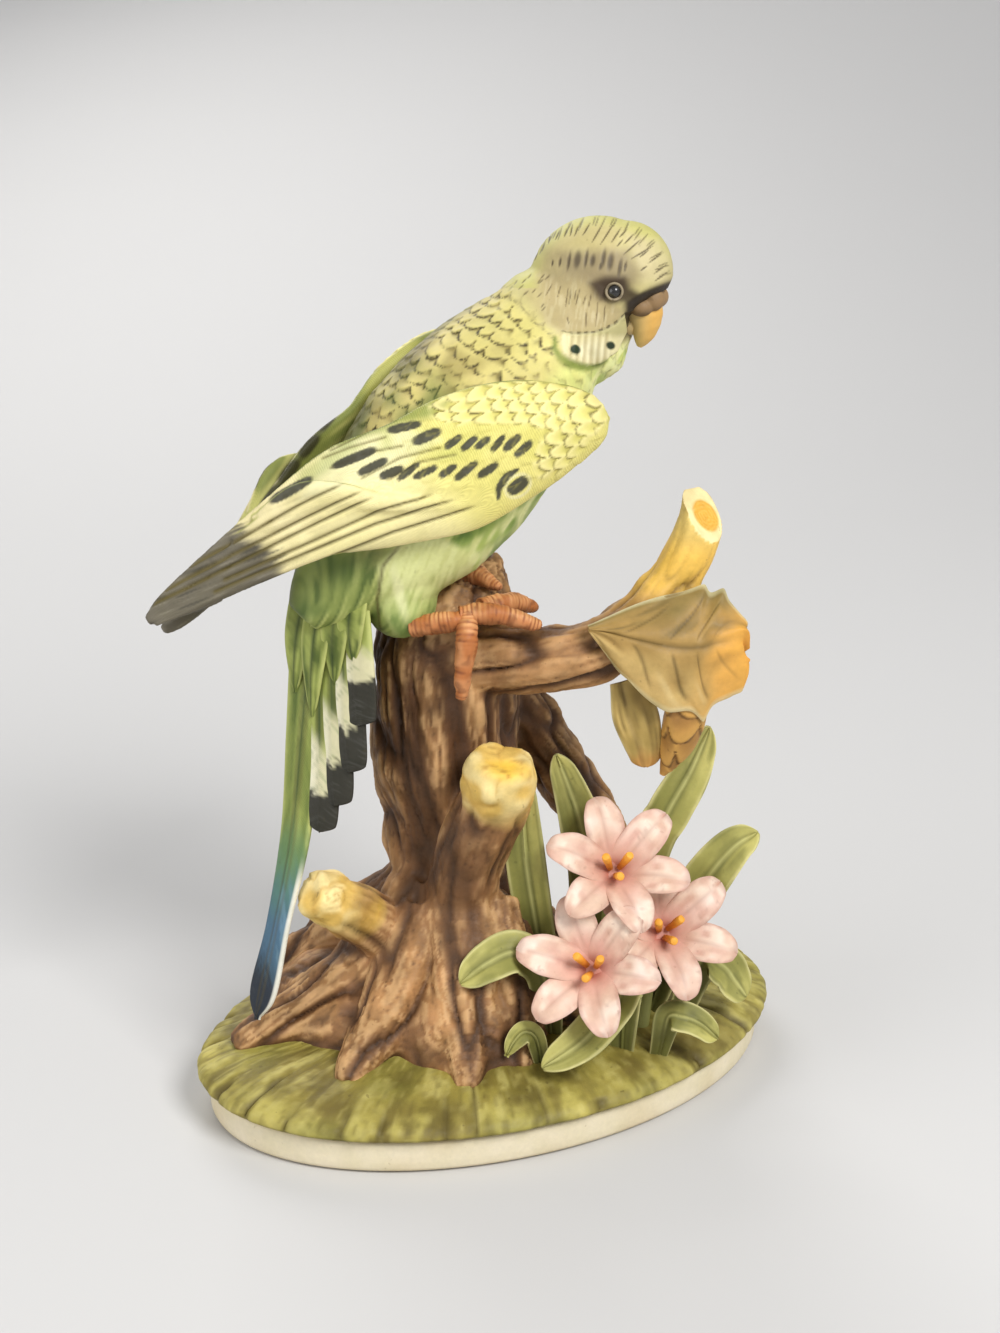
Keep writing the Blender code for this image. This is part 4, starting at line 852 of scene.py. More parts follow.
def stump():
    bm = bmesh.new()
    for kind, line in limbs():
        tube(bm, line, steps=4, count=28 if kind == "trunk" else 20)
    for centre, radii in MOUNDS:
        ball(bm, Vector(centre) * MM + UP * GROUND, UPRIGHT, Vector(radii) * MM)
    item = new_object("stump", bm)
    fuse(item, STUMP_VOXEL, rounds=8)
    skin = Skin(item)
    points = skin.points.copy()
    end = Vector(on_stump(STUB[-1:], STUB_RADIUS)[0][:3]) - UP * STUB_RADIUS * 0.95
    out = np.array(CUT_FACING)
    over = (points - np.array(end)) @ out
    near = np.linalg.norm(points - np.array(end), axis=1) < 0.012
    sawn = near & (over > 0)
    skin.points[sawn] -= over[sawn, None] * out
    total = np.zeros(len(points))
    relief = np.zeros(len(points))
    thin = np.zeros(len(points))
    fibre = np.zeros(len(points))
    share_of = {}
    placed = [(kind, *limb_places(points, line)) for kind, line in limbs()]
    closest = np.min([entry[1] for entry in placed], axis=0)
    for number, (kind, gap, angle, way, radius) in enumerate(placed):
        weight = np.exp(-5.0 * (gap - closest))
        total += weight
        coarse = STRAND * (1.0 if kind in ("trunk", "root", "front", "side") else 0.75)
        relief += weight * strands(angle, way, radius, coarse, 4.0, number * 3)
        thin += weight * strands(angle, way, radius, 1.3 * MM, 6.0, number * 3 + 1)
        fibre += weight * strands(angle, way, radius, 0.95 * MM, 7.0, number * 3 + 2)
        share_of[kind] = share_of.get(kind, 0) + weight
    relief /= total
    thin /= total
    fibre /= total
    for kind in share_of:
        share_of[kind] = share_of[kind] / total
    knot = step(0.35, 0.75, share_of["knot"])
    lumps = grain(points, 0.0085, 11)
    knobs = grain(points, 0.0036, 12)
    bare = sawn * 1.0
    stub = share_of["stub"]
    high = step(1.03, 1.10, (points[:, 2] - GROUND) / STUMP_HEIGHT)
    plain = (1 - knot) * (1 - bare) * (1 - 0.75 * high * stub)
    depth = plain * (1.55 * relief - 1.0 + 0.34 * thin + 0.30 * fibre - 0.20 + 0.95 * lumps + 0.30 * knobs)
    wood = grain(points, 0.0034, 13)
    split = strands(placed[0][2], placed[0][3], placed[0][4], 2.4 * MM, 2.0, 77)
    depth += knot * (0.65 * wood + 0.55 * split - 0.35)
    ground = step(GROUND - 0.002, GROUND + 0.006, points[:, 2])
    skin.lift(MM * depth * (0.25 + 0.75 * ground))
    skin.points[:, 2] = np.maximum(skin.points[:, 2], FOOT_HEIGHT + 0.0006)
    height = (points[:, 2] - GROUND) / STUMP_HEIGHT
    back = relief + 0.25 * lumps
    skin.tint("5a3c22")
    # Painted light on the bark: lighter and highlighted on the backs of the strands and, low on the stump, on
    # raised lumps; darker in the creases between them
    skin.tint("7d5734", step(0.15, 0.65, back))
    skin.tint("a27748", 0.85 * step(0.55, 1.05, back + 0.12 * thin))
    skin.tint("c79a64", 0.55 * step(0.85, 1.25, back + 0.25 * knobs))
    skin.tint("b98453", 0.55 * step(0.0, 0.8, lumps + knobs * 0.5) * step(0.4, 0.8, relief)
              * fall(0.2, 0.45, height))
    skin.tint("4a2c15", 0.55 * step(0.50, 0.72, height) * (1 - share_of["branch"] - stub)
              * (1 - 0.6 * step(0.6, 1.0, back)))
    # Painted shade in the hollows between the large lumps
    skin.tint("4a2e17", 0.35 * step(0.2, 0.9, -lumps))
    # Painted highlight on raised fibres and on the branch's ridges, and painted shade in the fine creases
    ragged = fibre + 0.35 * thin + 0.25 * grain(points, 0.0016, 17)
    skin.tint("d0a673", 0.65 * plain * step(0.70, 1.10, ragged) * step(0.35, 0.8, back))
    skin.tint("422812", 0.52 * plain * fall(0.15, 0.50, ragged))
    skin.tint("a87d50", 0.6 * share_of["branch"] * step(0.4, 0.9, back))
    skin.tint("8a6a38", 0.7 * stub * (1 - knot))
    skin.tint("d9ae4c", stub * (1 - bare) * step(1.0, 1.10, height + 0.04 * relief))
    skin.tint("e9cd7c", 0.8 * stub * (1 - bare) * step(1.10, 1.2, height))
    seen = picture(points)
    facing = points[:, 1] < -0.004
    skin.tint("dab55e", knot)
    # Painted highlight on the raised wood of the knots
    skin.tint("ecd696", knot * 0.85 * step(-0.1, 0.6, wood + 0.3 * split - 0.1))
    skin.tint("c39a4a", knot * 0.55 * fall(0.05, 0.3, split))
    skin.tint("a87a34", knot * 0.45 * fall(0.35, 0.95, share_of["knot"]))
    for centre, long, short, lean in (((374, 916), 24, 13, (0.9, -0.45)), ((508, 770), 26, 10, (1.0, 0.1))):
        stain = spot(seen, centre, long, short, lean, 0.5) * facing * knot
        skin.tint("e3b83c", 0.75 * stain)
        skin.tint("9b5f1c", 0.6 * stain * step(0.25, 0.6, grain(points, 0.0011, 16)))
    curl = np.zeros(len(points))
    for centre, size in (((334.5, 895.5), 13.0), ((494, 742), 11.0)):
        away = np.hypot(seen[:, 0] - centre[0], (seen[:, 1] - centre[1]) * 1.15)
        turn = np.arctan2(seen[:, 1] - centre[1], seen[:, 0] - centre[0]) / math.tau
        coil = np.exp(-((away / size * 1.6 - turn) % 1.0 - 0.5) ** 2 / 0.02) * fall(size, size + 4, away)
        curl = np.maximum(curl, coil * facing * knot)
    skin.points -= skin.normals * (MM * 0.28 * curl)[:, None]
    skin.tint("b08a45", 0.55 * curl)
    off = skin.points - np.array(end)
    reach = np.linalg.norm(off - (off @ out)[:, None] * out, axis=1)
    rings = 0.5 + 0.5 * np.sin(reach * 7600 + 1.5 * grain(points, 0.004, 15))
    skin.tint("d99f34", bare)
    skin.tint("edc568", bare * rings * 0.5)
    skin.tint("f0dba0", bare * step(0.0030, 0.0038, reach))
    # Pooled paint and painted shade in the bark's creases
    crease = 1 - np.clip(relief * 1.5, 0, 1)
    skin.groove(plain * (0.60 * step(0.35, 1.0, crease) + 0.22 * fall(0.1, 0.6, thin)))
    place_piece(skin, porcelain("bark bisque", "33200f", mottle=0.22, specks=0.3, relief=0.0003),
                "stump_and_base")


# The bird's own axes: towards the head, its right side, and its back

def bird_axes():
    ahead = Vector((math.cos(BODY_HEADING) * math.cos(BODY_PITCH),
                    math.sin(BODY_HEADING) * math.cos(BODY_PITCH), math.sin(BODY_PITCH)))
    level = Vector((math.sin(BODY_HEADING), -math.cos(BODY_HEADING), 0))
    upright = level.cross(ahead)
    right = level * math.cos(BODY_ROLL) - upright * math.sin(BODY_ROLL)
    back = upright * math.cos(BODY_ROLL) + level * math.sin(BODY_ROLL)
    return ahead, right, back


AHEAD, RIGHT, BACK = bird_axes()
BODY_CENTRE = Vector((-0.009, 0.002, PERCH + 0.027))
HEAD_AHEAD = Vector((math.cos(HEAD_TURN), math.sin(HEAD_TURN), 0))
HEAD_RIGHT = HEAD_AHEAD.cross(UP)
HEAD_RADIUS = HEAD_DIAMETER / 2

# Along the body in millimetres: place, height of the back, depth of the belly, half width
TORSO = [
    (-40, 4, 3, 4),
    (-36, 6.5, 6, 7),
    (-30, 9, 10, 10),
    (-22, 12.5, 15, 14),
    (-12, 16, 18.5, 17.5),
    (0, 18, 19.2, 19.5),
    (10, 17.8, 17.8, 19.5),
    (20, 16, 15.2, 18.2),
    (28, 13.5, 11.8, 15.5),
    (34, 10.5, 9, 12),
    (38, 7, 6, 7.5),
]

# The near wing's upper and lower edge in millimetres, with the share of its thickness
WING = [
    ((25.5, 21, -2), (24.5, 22, -7.5), 0.35),
    ((23.5, 20.5, 3), (20, 23.5, -8.5), 0.85),
    ((18.5, 19, 10), (12, 24, -7), 1.0),
    ((12.6, 17, 15), (4, 23.5, -5), 0.95),
    ((5, 15, 19), (-6.6, 21.5, -1.8), 0.80),
    ((-3.8, 12.5, 21.5), (-18, 18, 6), 0.62),
    ((-14.4, 9, 25.5), (-29, 14, 13.8), 0.48),
    ((-28, 5.5, 26.2), (-42, 8, 17.8), 0.36),
    ((-41, 3.5, 27), (-50, 5, 20.5), 0.30),
    ((-53, 2.2, 27.6), (-56, 2.6, 23.2), 0.25),
    ((-58.5, 1.8, 26.8), (-59, 2, 25.2), 0.20),
]


def on_body(along, aside, above):
    return BODY_CENTRE + AHEAD * along + RIGHT * aside + BACK * above


HEAD_CENTRE = on_body(0.0445, 0.0045, 0.0015)


def on_head(x, y, z):
    """A point from the head's centre, in head radii ahead, right and up."""
    return HEAD_CENTRE + (HEAD_AHEAD * x + HEAD_RIGHT * y + UP * z) * HEAD_RADIUS


def body_places(points):
    """Places along, aside and above on the bird's own axes."""
    off = points - np.array(BODY_CENTRE)
    return off @ np.array(AHEAD), off @ np.array(RIGHT), off @ np.array(BACK)


def near_side(points):
    """Points of the head, with its far half mirrored to the near half."""
    right = np.array(HEAD_RIGHT)
    aside = (points - np.array(HEAD_CENTRE)) @ right
    return points + np.where(aside < 0, -2 * aside, 0)[:, None] * right


# Head markings in picture pixels: strokes by their ends, dashes by centre, half length and half width
CROWN_STROKES = [
    (538, 248, 541, 238), (548, 244, 550, 233), (555, 240, 559.5, 230), (564, 237, 567, 228),
    (570, 236, 572.5, 224), (574.5, 236, 578, 226), (582.5, 235.5, 590, 223), (591.5, 243, 603, 223),
    (600, 245, 615, 221.5), (611, 243, 621, 227.5), (619.5, 237, 627, 229), (617, 246.5, 623, 239),
    (623.5, 244.5, 634, 233.5), (623, 255, 641, 239), (631, 259, 653, 246), (640, 257, 648.5, 250),
    (648, 263.5, 663.5, 252.5), (640, 271, 647.5, 266), (654.5, 273.5, 667, 264.5),
    (654.5, 281.5, 669.5, 271),
]
BROW_DASHES = [
    (552, 263, 3, 1), (559.5, 262, 4.5, 1.3), (568.5, 261, 9, 1.5), (577, 259.5, 8.5, 3.2),
    (586, 258.5, 9, 1.6),
    (592.5, 260.5, 6, 2.5), (603.5, 258, 9, 2), (600.5, 266, 4, 1.3), (610.5, 261.5, 8.5, 2.8),
    (620, 268, 9, 1.8), (625.5, 266.5, 5, 1.1),
]
CHEEK_STROKES = [
    (560.5, 286, 557.5, 297), (568, 287.5, 565.5, 307), (571.5, 288, 569, 304.5), (576, 290, 573.5, 302),
    (579.5, 289.5, 575.5, 306), (586, 295, 583, 304.5), (591.5, 292.5, 588, 309.5), (586, 313, 586.5, 329),
    (597.5, 302, 596, 326.5), (566.5, 315.5, 569.5, 325), (552, 284, 546, 295), (605, 304, 604, 322),
]
BEARD_TOP = [(562, 331), (571, 333), (578, 333), (586, 332.5), (593.5, 332), (600, 330), (607.5, 327),
             (616, 322),
             (624, 314)]
BEARD = BEARD_TOP + [(627, 331), (620.5, 344.5), (617, 351), (609.5, 356.5), (605, 361.5), (595, 365),
                     (586.5, 366.5), (577, 364), (568.5, 361), (562, 354), (559.5, 343)]
CRESCENT = [(555, 338), (554.5, 349), (560, 358), (568.5, 363.5), (578, 366.5), (588, 368), (599, 364.5),
            (606, 360)]
SMUDGE = [(589, 283), (605, 277), (625, 277), (630, 288), (641, 293), (653, 287), (672, 280), (671, 291),
          (642, 305), (633, 312), (626, 314), (623.5, 303), (600, 300), (597, 295)]
# The painted shadow in the hollow between the cheek and the beak
RECESS_SHADOW = [(625, 313), (634, 312), (630, 326), (633, 338), (623.5, 348), (620, 344), (626.5, 331)]


def bird_body():
    bm = bmesh.new()
    rings = []
    for along, height, depth, half in np.array(TORSO) * MM:
        centre = on_body(along, 0, (height - depth) / 2)
        rings.append(oval(centre, RIGHT * half, BACK * (height + depth) / 2, 40))
    loft(bm, rings)
    axes = (HEAD_AHEAD, HEAD_RIGHT, UP)
    radius = HEAD_RADIUS
    ball(bm, on_head(-0.10, 0, 0.0), axes, (radius * 1.06, radius * 0.93, radius * 1.0))
    ball(bm, on_head(0.32, 0, 0.18), axes, (radius * 0.72, radius * 0.72, radius * 0.76))
    ball(bm, on_head(0.05, 0, -0.45), axes, (radius * 0.80, radius * 0.86, radius * 0.62))
    neck = [on_head(-0.18, 0, -0.1), on_head(-0.36, 0.1, -0.62), on_body(0.032, 0.001, 0.001),
            on_body(0.022, 0, 0.000)]
    widths = [radius * 0.94, radius * 0.97, radius * 1.02, radius * 1.02]
    tube(bm, [(*point, width) for point, width in zip(neck, widths)], count=32)
    stout = THIGH_RADIUS
    for x, y in ((-0.0172, -0.0065), (-0.0140, 0.0090)):
        tube(bm, [(x + 0.004, y * 0.75, PERCH + 0.014, stout * 1.15), (x, y, PERCH + 0.004, stout),
                  (x + 0.0015, y - 0.0006, PERCH - 0.0025, stout * 0.62)], count=24)
        ball(bm, Vector((x, y, PERCH + 0.002)), UPRIGHT, (stout * 0.98, stout * 0.95, stout * 1.05))
    item = new_object("bird_body", bm)
    fuse(item, BODY_VOXEL, rounds=8)
    bm = bmesh.new()
    bm.from_mesh(item.data)
    low = HEAD_CENTRE.z - 0.0135
    fine = [edge for edge in bm.edges if min(v.co.z for v in edge.verts) > low
            and (edge.verts[0].co - HEAD_CENTRE).length < 0.0185]
    bmesh.ops.subdivide_edges(bm, edges=fine, cuts=1, use_grid_fill=True)
    bm.to_mesh(item.data)
    bm.free()
    soften(item, 3)
    skin = Skin(item)
    off = skin.points - np.array(HEAD_CENTRE)
    ahead = off @ np.array(HEAD_AHEAD) / HEAD_RADIUS
    high = off[:, 2] / HEAD_RADIUS
    drawn = np.interp(high, [-1.75, -1.35, -1.0, -0.72, -0.48, -0.25, -0.05, 0.12],
                      [1.0, 0.86, 0.62, 0.50, 0.50, 0.72, 0.96, 1.0])
    drawn = 1 - (1 - drawn) * step(-0.0225, -0.0185, -np.linalg.norm(off, axis=1))
    skin.points -= (np.maximum(ahead - 0.10, 0) * (1 - drawn) * HEAD_RADIUS)[:, None] * np.array(HEAD_AHEAD)
    points = skin.points.copy()
    along, aside, above = body_places(points)
    round_body = np.arctan2(aside, above)
    head_gap = np.linalg.norm(points - np.array(HEAD_CENTRE), axis=1)
    uv = picture(near_side(points))
    own_uv = picture(points)
    level = (points[:, 2] - HEAD_CENTRE.z) / MM
    head = step(-1.6, 1.2, level + 9.8) * step(-0.0198, -0.0165, -head_gap)
    head = np.maximum(head, inside(uv, BEARD, 3.0) * step(-0.0235, -0.0215, -head_gap))
    # The breast, the back and the legs
    body = 1 - head
    cloud = grain(points, 0.0075, 21)
    skin.tint("d9da84")
    skin.tint("e4e095", 0.6 * step(-0.2, 0.6, cloud))
    belly = step(1.5, 2.1, np.abs(round_body))
    skin.tint("dfe3a4", 0.7 * belly)
    plumes = brushed(own_uv, (-0.55, 0.83), 17, 3.6, 22)
    down = brushed(own_uv, (-0.35, 0.94), 14, 2.8, 23)
    skin.tint("abc05c", 0.85 * belly * step(-0.2, 0.7, plumes + 0.5 * cloud))
    for centre, long, short, strength in (
        ((469, 526), 34, 15, 0.95), ((424, 541), 24, 14, 0.95), ((507, 508), 22, 10, 0.8),
        ((548, 484), 26, 12, 0.75),
        ((578, 462), 18, 9, 0.6), ((522, 520), 22, 9, 0.6), ((398, 552), 16, 11, 0.9),
        ((500, 545), 18, 9, 0.5),
    ):
        patch = spot(own_uv, centre, long, short, (0.8, -0.6), 0.75)
        skin.tint("85a042", strength * patch * step(-0.75, 0.15, plumes + 0.35 * down) * (above < 0.016))
        skin.tint("587a30", 0.9 * strength * patch ** 2 * step(-0.3, 0.5, plumes + 0.5 * down)
                  * (above < 0.016))
    rump = fall(-0.027, -0.014, along + 0.002 * plumes)
    hanging = brushed(np.c_[points[:, 0] + 0.7 * points[:, 1], points[:, 2]] / MM, (0.12, 1), 6.0, 0.62, 24)
    skin.tint("7f8c46", 0.95 * rump)
    skin.tint("b9be70", 0.75 * rump * step(0.0, 0.6, hanging))
    skin.tint("485c26", 0.80 * rump * step(0.05, 0.6, -hanging))
    thigh = inside(own_uv, [(378, 566), (398, 545), (440, 536), (472, 556), (474, 584), (452, 622),
                            (428, 642),
                            (398, 638), (382, 606)], 9) * (points[:, 1] < 0.004)
    skin.tint("dcdf9a", 0.95 * thigh)
    skin.tint("c3c678", 0.5 * thigh * step(-0.1, 0.7, down + 0.4 * plumes))
    skin.tint("98a659", 0.75 * thigh * step(-26, 18, own_uv[:, 1] - 596 + 16 * down))
    skin.tint("657f3c", 0.85 * thigh * step(-12, 18, own_uv[:, 1] - 616 + 14 * down))
    skin.tint("ebeab4", 0.6 * spot(own_uv, (399, 592), 26, 5, (0.25, 1), 0.6) * (points[:, 1] < 0.004))
    # Painted shade along the thigh's edge, where it meets the body
    skin.groove(0.85 * stroke(own_uv, [(404, 540), (383, 566), (377, 600), (381, 640)], 3.4, 3.0, 0.5)
                * (points[:, 1] < 0.004))
    skin.lift(MM * (0.22 * rump * hanging + 0.08 * body * belly * down * (1 - rump)))
    back = fall(1.15, 1.45, np.abs(round_body))
    skin.tint("c9b673", body * back * 0.85 * (1 - rump))
    # Painted light on the near side of the upper back
    skin.tint("cfc678", body * back * 0.75 * step(0.012, 0.026, along) * step(-0.4, 0.4, aside / 0.012))
    # Scallops over the nape, the mantle and the breast
    warp = 0.42 * grain(points, 0.0062, 28)
    tall, line, number = scales(-along / 0.0029 + warp, round_body * 0.0175 / 0.0041
                                + 0.5 * grain(points, 0.0055, 29), 3)
    on_nape = (body * np.clip(back + 0.5 * (1 - back) * step(0.014, 0.022, along), 0, 1)
               * step(-0.016, -0.008, along))
    broken = step(-0.75, 0.25, grain(points, 0.0022, 30) + 0.9 * (number - 0.35))
    skin.lift(MM * 0.46 * on_nape * (tall - 0.6) * (0.6 + 0.5 * number))
    # Painted shade at the tucked base of each scale and painted light on its raised rim, with a tone that
    # varies from scale to scale
    skin.tint("86763c", 0.80 * on_nape * fall(0.1, 0.55, tall))
    skin.tint("d6c877", 0.75 * on_nape * step(0.45, 0.9, tall) * (0.35 + 0.65 * number))
    skin.tint("8a7a42", 0.55 * on_nape * step(-0.2, 0.5, grain(points, 0.0045, 60))
              * fall(0.010, 0.030, along))
    skin.tint("33290f", 0.95 * on_nape * np.clip(line * (1.2 + 0.9 * back), 0, 1) * broken
              * (0.6 + 0.4 * back))
    # Painted shade on the back: dark green low between the wings, darker on its far side, and along the near
    # wing's upper edge
    shade = step(-0.55, 0.5, grain(points, 0.006, 27))
    skin.tint("4d6428", 0.85 * body * back * fall(0.002, 0.014, along) * shade * (1 - 0.4 * rump))
    skin.tint("55592a", 0.60 * body * back * step(0.000, 0.009, -aside - 0.001) * fall(0.020, 0.034, along))
    skin.tint("5d4f28", 0.55 * body * back * fall(0.018, 0.034, along) * shade
              * step(0.0, 0.010, -aside + 0.004))
    edge_shade = stroke(own_uv, [(380, 455), (440, 418), (500, 398), (560, 388)], 15, 14, 0.4)
    skin.tint("6f7c36", 0.65 * body * edge_shade * back)
    soft_tall, soft_line, _ = scales(-along / 0.0042, round_body * 0.0180 / 0.006, 5)
    breast = body * (1 - on_nape) * (1 - rump) * (1 - thigh)
    skin.lift(MM * 0.16 * breast * (soft_tall - 0.6))
    skin.tint("a9b658", 0.20 * breast * soft_line)
    # The head
    skin.tint("bcae78", head)
    skin.tint("cdc288", 0.7 * head * step(-0.1, 0.7, grain(points, 0.004, 61)))
    ring = np.hypot(uv[:, 0] - 600, uv[:, 1] - 288) / 73
    turned = np.degrees(np.arctan2(288 - uv[:, 1], uv[:, 0] - 600))
    skin.tint("bdb86c", 0.9 * head * step(0.78, 0.98, ring) * step(0, 30, turned))
    skin.tint("c6b98c", 0.7 * head
              * inside(uv, [(628, 236), (660, 240), (676, 262), (668, 284), (640, 282)], 14))
    cheek = head * inside(uv, [(540, 275), (600, 275), (612, 300), (626, 312), (610, 330), (562, 334),
                               (545, 320)], 16)
    skin.tint("b09f72", 0.9 * cheek)
    skin.tint("c9bd93", 0.5 * cheek * step(0.0, 0.5, brushed(uv, (-0.15, 1), 12, 2.0, 62)))
    skin.tint("9f8f68", 0.6 * head
              * inside(uv, [(545, 250), (625, 250), (640, 285), (600, 285), (550, 285)], 18))
    skin.tint("e0d88c", 0.8 * head * step(-8, 10, uv[:, 1] - 334 + 0.25 * (560 - uv[:, 0]))
              * fall(552, 564, uv[:, 0]))
    rays = strongest(stroke(uv, [ends[:2], ends[2:]], 1.6, 1.1, 0.8) for ends in CROWN_STROKES)
    for k in range(27):
        turn = math.radians(12 + 5.2 * k + 2.5 * math.sin(k * 2.7))
        rim = np.array([600 + 72.5 * math.cos(turn), 288 - 72.5 * math.sin(turn)])
        lean = min(turn, math.radians(68 + 6 * math.sin(k * 1.3)))
        inner = rim + np.array([-math.cos(lean), math.sin(lean)]) * (12 + 3 * math.sin(k * 1.9))
        rays = np.maximum(rays, 0.8 * stroke(uv, [inner, rim], 1.4, 1.1, 0.7))
    for k in range(26):
        place = np.array([508 + 37 * chance(k, 1, 7, 0), 262 + 66 * chance(k, 2, 7, 0)])
        bend = 0.4 * (chance(k, 3, 7, 0) - 0.5)
        tip = place + (5.5 * (0.75 + bend), -4.5)
        rays = np.maximum(rays, 0.75 * stroke(uv, [place, tip], 1.5, 1.1, 0.7))
    fine_rays = strongest(stroke(uv, [ends[:2], ends[2:]], 1.2, 1.0, 0.8) for ends in CHEEK_STROKES)
    dashes = strongest(spot(uv, (x, y), long, wide, (0.16, -1.0), 0.55) for x, y, long, wide in BROW_DASHES)
    haze = head * inside(uv, [(560, 254), (628, 250), (642, 276), (630, 286), (596, 284), (566, 272)], 16)
    smudge = head * inside(uv, SMUDGE, 9.0)
    skin.tint("7b6b50", 0.60 * haze)
    skin.tint("463a22", head * 0.90 * rays)
    skin.tint("43382a", head * 0.80 * dashes)
    skin.tint("5a4c2e", head * 0.85 * fine_rays)
    skin.tint("54422f", 0.75 * head * spot(uv, (611, 289), 19, 12, (1, -0.1), 0.6))
    skin.tint("3b2c1e", 0.90 * smudge)
    skin.tint("21160e", 0.85 * head * inside(uv, [(628, 302), (642, 292), (655, 287), (672, 281), (672, 291),
                                                  (645, 306), (636, 316), (626, 316)], 4.0))
    beard = np.clip(inside(uv, BEARD, 2.5) * head, 0, 1)
    skin.tint("ded3a2", beard)
    skin.tint("efe8c4", 0.7 * beard * spot(uv, (592, 350), 16, 10, (1, -0.2), 0.6))
    ribs = 0.5 + 0.5 * np.sin((uv[:, 0] - 576) * 0.92 + 0.1 * (uv[:, 1] - 345))
    ribbed = beard * inside(uv, [(566, 336), (608, 332), (610, 358), (590, 366), (568, 361)], 4)
    skin.tint("a8986a", 0.6 * ribbed * ribs)
    skin.tint("8f8a4a", 0.55 * beard * step(338, 331, uv[:, 1]))
    crescent = stroke(uv, CRESCENT, 8.0, 5.0, 0.6)
    green_side = step(-0.0235, -0.0205, -head_gap)
    skin.tint("6c7c2c", 0.85 * crescent * green_side)
    top_line = stroke(uv, BEARD_TOP, 2.0, 1.2, 0.5) * (0.45 + 0.55 * step(-0.4, 0.4, np.sin(uv[:, 0] * 0.85)))
    skin.tint("40351b", head * 0.9 * top_line)
    skin.tint("1f3019", head * spot(uv, (574.3, 350), 5.0, 5.0, (1, 0), 0.2))
    skin.tint("27331f", head * spot(uv, (609.5, 344.5), 4.1, 4.1, (1, 0), 0.25))
    # Painted shadow in the hollow between the cheek and the beak, which is also pressed in
    recess_shadow = head * inside(uv, RECESS_SHADOW, 3.0)
    skin.tint("2e2016", 0.9 * recess_shadow)
    shape = (-0.14 * rays - 0.20 * dashes - 0.10 * fine_rays + 0.45 * beard - 0.18 * ribbed * ribs
             - 0.22 * top_line - 0.4 * recess_shadow
             - 0.35 * inside(uv, [(600, 284), (628, 282), (634, 300), (604, 300)], 10))
    skin.lift(MM * head * shape)
    place_piece(skin, BIRD_PAINT, "bird")


# Wing markings in picture pixels: centre, half length, half width and lean of each dark spot
WING_SPOTS = [
    (404, 427, 17.5, 5.6, 0.97, -0.20), (426.5, 436.5, 15.5, 6.8, 0.91, -0.41),
    (453, 442, 10.5, 4.8, 0.80, -0.60),
    (469, 443.5, 10.5, 4.8, 0.75, -0.66), (482.5, 443, 9.5, 4.8, 0.78, -0.62),
    (498, 443.5, 10.5, 4.2, 0.62, -0.78),
    (512, 443, 11.5, 5.2, 0.72, -0.69), (523.5, 449, 11.5, 5.2, 0.75, -0.66),
    (354, 458, 24, 6, 0.92, -0.38), (372.5, 466.5, 16.5, 5.3, 0.90, -0.45),
    (391.5, 472.5, 13, 5.8, 0.92, -0.35),
    (408.5, 471.5, 14, 4.3, 0.78, -0.62), (425, 472.5, 13.5, 4.8, 0.90, -0.42),
    (448, 471, 10.5, 4.8, 0.82, -0.57),
    (466, 471, 14.5, 5.2, 0.78, -0.62), (488, 470.5, 12.5, 5.2, 0.83, -0.55),
    (518, 486, 12, 8.2, 0.80, -0.60),
    (291, 490, 24.5, 6.3, 0.87, -0.50),
]
WING_COMMA = [(517.5, 470), (507, 476), (499, 488), (498, 499)]
PRIMARY_LINES = [
    [(345, 482.5), (300, 505), (230, 544), (190, 566)],
    [(366, 489), (310, 516), (230, 556), (165, 590)],
    [(377, 495.5), (320, 522), (238, 563), (150, 606)],
    [(437, 493), (376, 512.5), (300, 547), (225, 580)],
    [(460, 498), (376, 524), (300, 556), (215, 592)],
    [(481, 505), (392, 533), (330, 558), (225, 600)],
]
SHORT_LINES = [
    [(396, 420), (375, 428), (330, 450)], [(385, 437), (350, 447), (322, 458)],
    [(402, 446), (370, 452), (330, 468)],
    [(440, 448), (400, 458), (362, 478)], [(455, 455), (420, 462), (388, 480)],
]
SHOULDER = [(424, 388), (470, 378), (560, 378), (604, 388), (614, 412), (600, 430), (580, 452), (556, 476),
            (538, 480), (532, 462), (544, 430), (520, 424), (480, 424), (452, 426), (430, 416)]
# The way the long feathers run in the picture, and the bars on the far wing's inner face
COMB = np.array([-0.919, 0.394])
FAR_BARS = [(379, 352, 12, 4), (361, 375, 12, 5), (345, 397, 14, 5.5), (327, 420, 15, 6), (309, 446, 16, 6),
            (289, 472, 17, 6), (271, 496, 16, 5)]


